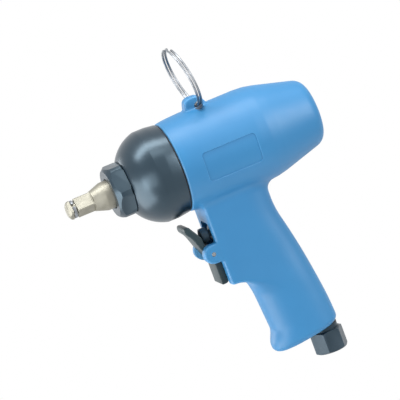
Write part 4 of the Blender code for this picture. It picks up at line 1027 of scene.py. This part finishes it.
def bell_outline():
    """Bulged line of the case from its front shoulder back to the band, as (x, radius) points."""
    front = Vector((CASE_FRONT, CASE_RADIUS - CASE_BELL_DROP))
    rear = Vector((CASE_REAR + CASE_BAND_LENGTH, CASE_RADIUS))
    chord = rear - front
    radius = (chord.length**2 / 4 + CASE_BELL_BULGE**2) / (2 * CASE_BELL_BULGE)
    outward = Vector((chord.y, -chord.x)).normalized()
    centre = (front + rear) / 2 - outward * (radius - CASE_BELL_BULGE)
    start = math.atan2(front.y - centre.y, front.x - centre.x)
    end = math.atan2(rear.y - centre.y, rear.x - centre.x)
    return arc(centre, radius, start, end, ARC_STEP / 3)


def make_case():
    """Bell-shaped hammer case with a nose tube in front and a tail that enters the barrel."""
    tube_front = -NOSE_REACH - COLLAR_LIP - FIT
    cavity = MOTOR_RADIUS - CASE_TAIL_WALL
    tail_rear = CASE_REAR - CASE_TAIL_LENGTH
    bell = bell_outline()
    band_step = CASE_BAND_LENGTH / CASE_BAND_STEPS
    profile = filleted(
        [
            (tube_front, NOSE_BORE),
            (tube_front, NOSE_TUBE_RADIUS, FIT),
            (CASE_FRONT, NOSE_TUBE_RADIUS),
            (*bell[0], CASE_EDGE / 2),
            *bell[1:-1],
            (*bell[-1], CASE_CREASE_ROUND),
            *((bell[-1][0] - band_step * i, CASE_RADIUS) for i in (2, 3, 4)),
            (CASE_REAR + CASE_BAND_LENGTH / 2, CASE_RADIUS, CASE_BAND_LENGTH),
            (CASE_REAR, CASE_RADIUS - CASE_REAR_DROP, CASE_EDGE / 2),
            (CASE_REAR, MOTOR_RADIUS),
            (tail_rear, MOTOR_RADIUS, FIT),
            (tail_rear, cavity),
            (CASE_FRONT - CASE_FRONT_WALL, cavity, CASE_EDGE),
            (CASE_FRONT - CASE_FRONT_WALL, NOSE_BORE),
        ]
    )
    case = body("case_bell", turned(profile, ring=True))
    hand_over(case, "dark_case_paint", "housing", "hammer_case", crease=CASE_CREASE)


def make_gasket():
    """Flat seal between the case and the barrel's mouth."""
    low = CASE_REAR - SEAT - GASKET_THICKNESS
    high = low + GASKET_THICKNESS
    inner = CAVITY_RADIUS + FIT
    outer = BARREL_RADIUS - BARREL_FRONT_DROP - FIT
    edge = GASKET_THICKNESS / 4
    profile = filleted([(low, inner), (low, outer, edge), (high, outer, edge), (high, inner)])
    hand_over(body("gasket_ring", turned(profile, ring=True)), "seal_rubber", "housing", "case_gasket")


def make_collar():
    """Hexagon collar with turned corners, a bore over the nose tube and a lip in front of the bush."""
    front = -NOSE_REACH
    rear = CASE_FRONT + FIT
    land = COLLAR_FLATS / math.sqrt(3) - COLLAR_LAND_DROP
    collar = body("nose_hexagon", prism(hexagon(COLLAR_FLATS, COLLAR_EDGE), rear, front, "YZ"))
    envelope = filleted(
        [
            (rear, 0),
            (rear, land - COLLAR_CHAMFER / 4),
            (rear + COLLAR_CHAMFER / 4, land),
            (front - COLLAR_CHAMFER, land, COLLAR_EDGE),
            (front, COLLAR_FLATS / 2 - COLLAR_CHAMFER / 3, COLLAR_EDGE),
            (front, 0),
        ],
        closed=False,
    )
    combine(collar, [turned(envelope)], "INTERSECT")
    lip_rear = front - COLLAR_LIP
    seat = NOSE_TUBE_RADIUS + FIT
    hollow = [
        (rear - CUT_PAST, 0),
        (rear - CUT_PAST, seat),
        (lip_rear, seat),
        (lip_rear, COLLAR_BORE),
        (front - COLLAR_EDGE, COLLAR_BORE),
        (front + FIT, COLLAR_BORE + COLLAR_EDGE + FIT),
        (front + CUT_PAST, COLLAR_BORE + COLLAR_EDGE + FIT),
        (front + CUT_PAST, 0),
    ]
    combine(collar, [turned(hollow)], "DIFFERENCE")
    hand_over(collar, "dark_case_paint", "housing", "nose_collar", crease=HEXAGON_CREASE)


def make_anvil():
    """Output shaft: a turned body with four flats milled on its end, then two jaws and a tail behind."""
    half = DRIVE_SQUARE / 2
    corner = DRIVE_TURNED_RADIUS
    groove_rear = -GROOVE_SETBACK - GROOVE_WIDTH - GROOVE_PLAY
    eased = DRIVE_CHAMFER / 4
    profile = filleted(
        [
            (0, 0),
            (0, corner - 2 * DRIVE_CHAMFER, eased),
            (-DRIVE_CHAMFER, corner - DRIVE_CHAMFER / 2, DRIVE_CHAMFER),
            (-GROOVE_SETBACK, corner, eased),
            (-GROOVE_SETBACK, GROOVE_FLOOR, eased),
            (groove_rear, GROOVE_FLOOR, eased),
            (groove_rear, corner, eased),
            (CONE_FRONT, corner, CONE_EASE),
            (CONE_REAR, ANVIL_RADIUS, CONE_EASE),
            (JAW_FRONT, ANVIL_RADIUS),
            (JAW_FRONT, JAW_ROOT_RADIUS),
            (JAW_REAR, JAW_ROOT_RADIUS),
            (JAW_REAR, TAIL_RADIUS),
            (TAIL_REAR, TAIL_RADIUS),
            (TAIL_REAR, 0),
        ],
        closed=False,
    )
    anvil = body("anvil_drive", turned(profile))
    wide = 2 * corner
    beside = [(half, -wide), (half + wide, -wide), (half + wide, wide), (half, wide)]
    turns = [Matrix.Rotation(DRIVE_TURN + math.pi / 2 * i, 4, "X") for i in range(4)]
    cutters = [prism(beside, -DRIVE_LENGTH, CUT_PAST, "YZ", matrix=turn) for turn in turns]
    combine(anvil, cutters, "DIFFERENCE")
    jaw = rounded_rectangle((-JAW_WIDTH / 2, -JAW_REACH), (JAW_WIDTH / 2, JAW_REACH), JAW_WIDTH / 4)
    combine(anvil, [prism(jaw, JAW_REAR, JAW_FRONT, "YZ")], "UNION")
    hand_over(anvil, "nickel_steel", "anvil", "anvil", crease=DRIVE_CREASE)


def make_retainer():
    """Split ring lying in the groove of the square drive."""
    inner = GROOVE_RADIUS + FIT
    outer = inner + RETAINER_THICKNESS
    start = RETAINER_OPENING / 2
    end = 2 * math.pi - start
    outline = arc((0, 0), outer, start, end) + arc((0, 0), inner, end, start)
    rear = -GROOVE_SETBACK - GROOVE_WIDTH + FIT
    turn = Matrix.Rotation(DRIVE_TURN, 4, "X")
    edge = RETAINER_THICKNESS / 4
    ring = prism(outline, rear, -GROOVE_SETBACK - FIT, "YZ", edge, segments=3, matrix=turn)
    hand_over(body("retainer_split_ring", ring), "bright_wire", "anvil", "socket_retainer_ring")


def trigger_outline():
    """Side outline of the rocker about its pin: upper arm standing out, lower arm against the slot."""
    arm = TRIGGER_ARM
    tip = TRIGGER_TIP_REACH
    belly = TRIGGER_BACK + arm / 3
    shin = arm / 9
    return filleted(
        [
            (tip - arm, TRIGGER_TOP - arm / 5, arm / 3),
            (tip - arm / 6, TRIGGER_TOP, arm / 2.5),
            (tip, TRIGGER_TOP - arm, arm),
            (tip - 0.9 * arm, TRIGGER_TOP - 2.2 * arm, 3 * arm),
            (belly, TRIGGER_TOP - 4.2 * arm, 3 * arm),
            (shin, 3.9 * arm - TRIGGER_BOTTOM, 2.4 * arm),
            (shin, -TRIGGER_BOTTOM, arm / 4),
            (-TRIGGER_BACK, -TRIGGER_BOTTOM, arm / 1.4),
            (-TRIGGER_BACK, TRIGGER_LEDGE, arm),
            (TRIGGER_PAD, TRIGGER_LEDGE + arm / 4, arm / 3),
            (TRIGGER_PAD, VALVE_LEVER + arm / 5, arm),
        ]
    )


def make_trigger():
    """Rocker trigger on its pin, which is held in the two ears."""
    half = SLOT_HALF_WIDTH - FIT
    place = Matrix.Translation(PIVOT)
    rocker = prism(trigger_outline(), -half, half, "XZ", TRIGGER_EDGE, matrix=place)
    trigger = body("rocker_trigger", rocker)
    hole = rod(-half - CUT_PAST, half + CUT_PAST, PIN_RADIUS + FIT, axis="Y", place=PIVOT)
    combine(trigger, [hole], "DIFFERENCE")
    hand_over(trigger, "trigger_plastic", "trigger", "trigger")
    ends = BLOCK_HALF_WIDTH - SEAT
    pin = rod(-ends, ends, PIN_RADIUS, PIN_EDGE, axis="Y", place=PIVOT)
    hand_over(body("rocker_pin", pin), "ground_steel", "housing", "trigger_pin")


def make_valve(name, level, reach, flange, head, head_radius):
    """Bush and dome-headed stem of one valve, both on one axis along X."""
    place = (0, 0, level)
    bush_rear = SLOT_BACK - VALVE_BUSH_LENGTH
    mouth = bush_rear + VALVE_BUSH_LENGTH / 2
    flange_rear = SLOT_BACK + FIT
    flange_front = flange_rear + flange
    edge = min(flange, STEM_COLLAR) / 3
    bore = STEM_COLLAR_RADIUS + FIT
    bush = filleted(
        [
            (bush_rear, bore),
            (bush_rear, VALVE_BUSH_RADIUS, edge),
            (flange_rear, VALVE_BUSH_RADIUS),
            (flange_rear, VALVE_FLANGE_RADIUS),
            (flange_front, VALVE_FLANGE_RADIUS, edge),
            (flange_front, STEM_RADIUS + FIT),
            (mouth, STEM_RADIUS + FIT),
            (mouth, bore),
        ]
    )
    sleeve = body(f"{name}_valve_sleeve", turned(bush, SMALL_STEPS, ring=True, place=place))
    hand_over(sleeve, "valve_plastic", "housing", f"{name}_valve_bush")
    tip = PIVOT.x + reach - STEM_TIP_GAP
    collar = stem_collar_rear()
    dome_end = math.asin(head_radius / HEAD_DOME_RADIUS)
    dome = arc((tip - HEAD_DOME_RADIUS, 0), HEAD_DOME_RADIUS, 0, dome_end)
    stem = filleted(
        [
            *dome[:-1],
            (*dome[-1], edge),
            (tip - head, head_radius, edge),
            (tip - head, STEM_RADIUS),
            (collar + STEM_COLLAR, STEM_RADIUS),
            (collar + STEM_COLLAR, STEM_COLLAR_RADIUS),
            (collar, STEM_COLLAR_RADIUS),
            (collar, STEM_TAIL_RADIUS),
            (collar - SPRING_LENGTH / 2, STEM_TAIL_RADIUS),
            (collar - SPRING_LENGTH / 2, 0),
        ],
        closed=False,
    )
    plunger = body(f"{name}_plunger", turned(stem, SMALL_STEPS, place=place))
    hand_over(plunger, "valve_plastic", f"{name}_stem", f"{name}_valve_stem")


def make_inlet():
    """Hexagon inlet bushing with its neck, shank and grooved through bore."""
    place = (INLET_X, 0, 0)
    neck_top = INLET_SEAT - SEAT
    hex_top = neck_top - INLET_NECK_LENGTH
    hex_bottom = hex_top - INLET_HEX_LENGTH
    shank_top = INLET_SEAT + INLET_SHANK_LENGTH - FIT
    corner = INLET_HEX_FLATS / math.sqrt(3)
    face = INLET_HEX_FLATS / 2 - INLET_HEX_CHAMFER / 4
    turn = Matrix.Translation(place) @ Matrix.Rotation(INLET_HEX_TURN, 4, "Z")
    hex_bar = prism(hexagon(INLET_HEX_FLATS, INLET_EDGE), hex_bottom, hex_top, "XY", matrix=turn)
    bushing = body("inlet_hexagon", hex_bar)
    envelope = filleted(
        [
            (hex_bottom, 0),
            (hex_bottom, face, INLET_EDGE),
            (hex_bottom + INLET_HEX_CHAMFER, corner + FIT),
            (hex_top - INLET_HEX_CHAMFER, corner + FIT),
            (hex_top, face, INLET_EDGE),
            (hex_top, 0),
        ],
        closed=False,
    )
    combine(bushing, [turned(envelope, axis="Z", place=place)], "INTERSECT")
    seal_seat = neck_top - 2 * SEAL_RING_WIRE
    shank = [
        (hex_top - CUT_PAST, 0),
        (hex_top - CUT_PAST, INLET_NECK_RADIUS),
        (seal_seat, INLET_NECK_RADIUS),
        (seal_seat, INLET_SHANK_RADIUS),
        (shank_top, INLET_SHANK_RADIUS),
        (shank_top, 0),
    ]
    combine(bushing, [turned(shank, axis="Z", place=place)], "UNION")
    screen_seat = shank_top - SCREEN_LENGTH
    threads = []
    for i in range(THREAD_TURNS):
        low = hex_bottom + INLET_EDGE + i * THREAD_PITCH
        threads += [(low, INLET_BORE), (low + THREAD_PITCH / 2, INLET_BORE + THREAD_DEPTH)]
    bore = [
        (hex_bottom - CUT_PAST, 0),
        (hex_bottom - CUT_PAST, INLET_BORE + INLET_EDGE),
        (hex_bottom, INLET_BORE + INLET_EDGE),
        *threads,
        (threads[-1][0] + THREAD_PITCH / 2, INLET_BORE),
        (screen_seat, INLET_BORE),
        (screen_seat, INLET_BORE + SCREEN_WALL),
        (shank_top + CUT_PAST, INLET_BORE + SCREEN_WALL),
        (shank_top + CUT_PAST, 0),
    ]
    combine(bushing, [turned(bore, SMALL_STEPS, axis="Z", place=place)], "DIFFERENCE")
    hand_over(bushing, "dark_inlet_paint", "housing", "air_inlet_bushing", crease=HEXAGON_CREASE)


make_case()
make_gasket()
make_collar()
make_anvil()
make_retainer()
make_trigger()
make_valve("forward", FORWARD_VALVE, TRIGGER_PAD, FORWARD_FLANGE, FORWARD_HEAD, FORWARD_HEAD_RADIUS)
make_valve("reverse", REVERSE_VALVE, -TRIGGER_BACK, REVERSE_FLANGE, REVERSE_HEAD, REVERSE_HEAD_RADIUS)
make_inlet()


WIRE_SOCKETS = (
    ("Path", "INPUT", "NodeSocketGeometry"),
    ("Radius", "INPUT", "NodeSocketFloat"),
    ("Spacing", "INPUT", "NodeSocketFloat"),
    ("Sides", "INPUT", "NodeSocketInt"),
    ("Finish", "INPUT", "NodeSocketMaterial"),
    ("Wire", "OUTPUT", "NodeSocketGeometry"),
)


def wire_tree():
    """Node tree that sweeps a round wire along a path and closes its two cut ends."""
    tree = bpy.data.node_groups.new("drawn_wire", "GeometryNodeTree")
    for name, way, kind in WIRE_SOCKETS:
        tree.interface.new_socket(name, in_out=way, socket_type=kind)
    start = tree.nodes.new("NodeGroupInput")
    end = tree.nodes.new("NodeGroupOutput")
    path = tree.nodes.new("GeometryNodeMeshToCurve")
    even = tree.nodes.new("GeometryNodeResampleCurve")
    even.mode = "LENGTH"
    section = tree.nodes.new("GeometryNodeCurvePrimitiveCircle")
    sweep = tree.nodes.new("GeometryNodeCurveToMesh")
    sweep.inputs["Fill Caps"].default_value = True
    real = tree.nodes.new("GeometryNodeRealizeInstances")
    paint = tree.nodes.new("GeometryNodeSetMaterial")
    join = tree.links.new
    join(start.outputs["Path"], path.inputs["Mesh"])
    join(path.outputs["Curve"], even.inputs["Curve"])
    join(start.outputs["Spacing"], even.inputs["Length"])
    join(start.outputs["Radius"], section.inputs["Radius"])
    join(start.outputs["Sides"], section.inputs["Resolution"])
    join(even.outputs["Curve"], sweep.inputs["Curve"])
    join(section.outputs["Curve"], sweep.inputs["Profile Curve"])
    join(sweep.outputs["Mesh"], real.inputs["Geometry"])
    join(real.outputs["Geometry"], paint.inputs["Geometry"])
    join(start.outputs["Finish"], paint.inputs["Material"])
    join(paint.outputs["Geometry"], end.inputs["Wire"])
    return tree


WIRE_TREE = wire_tree()


def drawn_wire(name, points, diameter, finish, ride_on, replaced):
    """A round wire through points, in place of a wound CAD node."""
    bm = bmesh.new()
    verts = [bm.verts.new(point) for point in points]
    for pair in zip(verts, verts[1:]):
        bm.edges.new(pair)
    wire = body(name, bm)
    modifier = wire.modifiers.new("draw", "NODES")
    modifier.node_group = WIRE_TREE
    values = {
        "Radius": diameter / 2,
        "Spacing": diameter / WIRE_STEPS_PER_DIAMETER,
        "Sides": WIRE_SIDES,
        "Finish": FINISHES[finish],
    }
    for socket in WIRE_TREE.interface.items_tree:
        if socket.name in values:
            modifier[socket.identifier] = values[socket.name]
    settle(wire)
    hand_over(wire, finish, ride_on, replaced)


def make_hang_ring():
    """Two flat turns of wire side by side that change places once, opposite the lug."""
    start = RING_CROSSING
    end = 4 * math.pi - RING_CROSSING
    turn = Matrix.Rotation(RING_LEAN, 4, "Y") @ Matrix.Rotation(RING_YAW, 4, "Z")
    place = Matrix.Translation(LUG_HOLE_PLACE) @ turn
    points = []
    for i in range(RING_POINTS + 1):
        angle = start + (end - start) * i / RING_POINTS
        crossed = smooth((angle - 2 * math.pi + RING_CROSSING) / (2 * RING_CROSSING))
        aside = RING_PITCH * (crossed - 0.5)
        flat = Vector((aside, RING_RADIUS * math.sin(angle), RING_RADIUS * (1 + math.cos(angle))))
        points.append(place @ flat)
    drawn_wire("split_ring", points, RING_WIRE, "bright_wire", "hang_ring", "hang_ring")


def make_spring(name, level):
    """Compression spring behind a stem's collar."""
    radius = STEM_COLLAR_RADIUS - SPRING_WIRE / 2
    front = stem_collar_rear() - SEAT - SPRING_WIRE / 2
    length = SPRING_LENGTH - SPRING_WIRE
    points = []
    for i in range(SPRING_POINTS + 1):
        share = i / SPRING_POINTS
        angle = 2 * math.pi * SPRING_TURNS * share
        points.append((front - length * share, radius * math.cos(angle), level + radius * math.sin(angle)))
    ride_on = (f"{name}_stem", "housing", (front, 0, level), (front - length, 0, level))
    drawn_wire(f"{name}_return_spring", points, SPRING_WIRE, "bright_wire", ride_on, f"{name}_valve_spring")


def dress_inner_pieces():
    """Finishes for the CAD nodes that keep their own meshes."""
    bearings = ["front_bearing", "rear_bearing"]
    motor = ["motor_cylinder", "front_end_plate", "rear_end_plate", "rotor"]
    hammers = [node for node in nodes if node.startswith("hammer_") and node != "hammer_case"]
    worn = {
        "ground_steel": bearings + motor + hammers,
        "sintered_bronze": ["anvil_bush", "inlet_screen"],
        "seal_rubber": ["inlet_o_ring"],
        "porous_muffler": ["exhaust_muffler"],
        "vane_fibre": [node for node in nodes if node.startswith("rotor_vane")],
    }
    for finish, names in worn.items():
        for name in names:
            nodes[name].data.materials.clear()
            nodes[name].data.materials.append(FINISHES[finish])


make_hang_ring()
make_spring("forward", FORWARD_VALVE)
make_spring("reverse", REVERSE_VALVE)
dress_inner_pieces()


def add_camera():
    """The photograph's view, looking square at the middle of the image."""
    back = VIEW_RIGHT.cross(VIEW_UP).normalized()
    right = VIEW_RIGHT.normalized()
    up = back.cross(right)
    data = bpy.data.cameras.new("photo_view")
    data.sensor_width = SENSOR_WIDTH
    data.lens = SENSOR_WIDTH * VIEW_DISTANCE / VIEW_WIDTH
    data.clip_end = VIEW_RANGE
    camera = bpy.data.objects.new("photo_view", data)
    turn = Matrix((right, up, back)).transposed().to_4x4()
    camera.matrix_world = Matrix.Translation(VIEW_CENTRE + back * VIEW_DISTANCE) @ turn
    bpy.context.scene.collection.objects.link(camera)
    bpy.context.scene.camera = camera


def add_lamp(name, place, width, height, power, up):
    """A soft box aimed at the middle of the tool, its height running as near to up as it can."""
    data = bpy.data.lights.new(name, "AREA")
    data.shape = "RECTANGLE"
    data.size = width
    data.size_y = height
    data.energy = power
    lamp = bpy.data.objects.new(name, data)
    back = (Vector(place) - VIEW_CENTRE).normalized()
    across = Vector(up).cross(back).normalized()
    turn = Matrix((across, back.cross(across), back)).transposed().to_4x4()
    lamp.matrix_world = Matrix.Translation(place) @ turn
    bpy.context.scene.collection.objects.link(lamp)


def background_share(tree):
    """1 for what the camera, a mirror or glass sees directly, 0 for what only lights the tool."""
    path = tree.nodes.new("ShaderNodeLightPath")
    total = path.outputs["Is Camera Ray"]
    for ray in ("Is Glossy Ray", "Is Transmission Ray"):
        either = tree.nodes.new("ShaderNodeMath")
        either.operation = "MAXIMUM"
        tree.links.new(total, either.inputs[0])
        tree.links.new(path.outputs[ray], either.inputs[1])
        total = either.outputs["Value"]
    return total


def add_surroundings():
    """White seen directly, a softer level as light on the tool."""
    world = bpy.data.worlds.new("studio")
    bpy.context.scene.world = world
    world.use_nodes = True
    tree = world.node_tree
    light = tree.nodes["Background"]
    light.inputs["Color"].default_value = (1, 1, 1, 1)
    light.inputs["Strength"].default_value = SURROUND_LIGHT
    seen = tree.nodes.new("ShaderNodeBackground")
    seen.inputs["Color"].default_value = (1, 1, 1, 1)
    seen.inputs["Strength"].default_value = 1.0
    choose = tree.nodes.new("ShaderNodeMixShader")
    tree.links.new(background_share(tree), choose.inputs["Fac"])
    tree.links.new(light.outputs["Background"], choose.inputs[1])
    tree.links.new(seen.outputs["Background"], choose.inputs[2])
    tree.links.new(choose.outputs["Shader"], tree.nodes["World Output"].inputs["Surface"])


def add_floor():
    """Pale round floor below the tool: near white to the camera, yet darkened by the tool's shadow."""
    bm = bmesh.new()
    bmesh.ops.create_circle(bm, cap_ends=True, radius=FLOOR_RADIUS, segments=ROUND_STEPS)
    bmesh.ops.translate(bm, verts=bm.verts, vec=(VIEW_CENTRE.x, 0, FLOOR_LEVEL))
    floor = body("studio_floor", bm)
    material = bpy.data.materials.new("floor_paper")
    material.use_nodes = True
    tree = material.node_tree
    paper = tree.nodes["Principled BSDF"]
    paper.inputs["Base Color"].default_value = srgb(FLOOR_TONE, FLOOR_TONE, FLOOR_TONE)
    paper.inputs["Roughness"].default_value = FLOOR_ROUGHNESS
    glow = tree.nodes.new("ShaderNodeEmission")
    glow.inputs["Strength"].default_value = 1.0
    share = tree.nodes.new("ShaderNodeMath")
    share.operation = "MULTIPLY"
    share.inputs[1].default_value = FLOOR_GLOW
    choose = tree.nodes.new("ShaderNodeMixShader")
    tree.links.new(background_share(tree), share.inputs[0])
    tree.links.new(share.outputs["Value"], choose.inputs["Fac"])
    tree.links.new(paper.outputs["BSDF"], choose.inputs[1])
    tree.links.new(glow.outputs["Emission"], choose.inputs[2])
    tree.links.new(choose.outputs["Shader"], tree.nodes["Material Output"].inputs["Surface"])
    floor.data.materials.append(material)


add_camera()
for lamp_name, lamp in LAMPS.items():
    add_lamp(lamp_name, *lamp)
add_surroundings()
add_floor()
bpy.context.scene.view_settings.view_transform = "Standard"
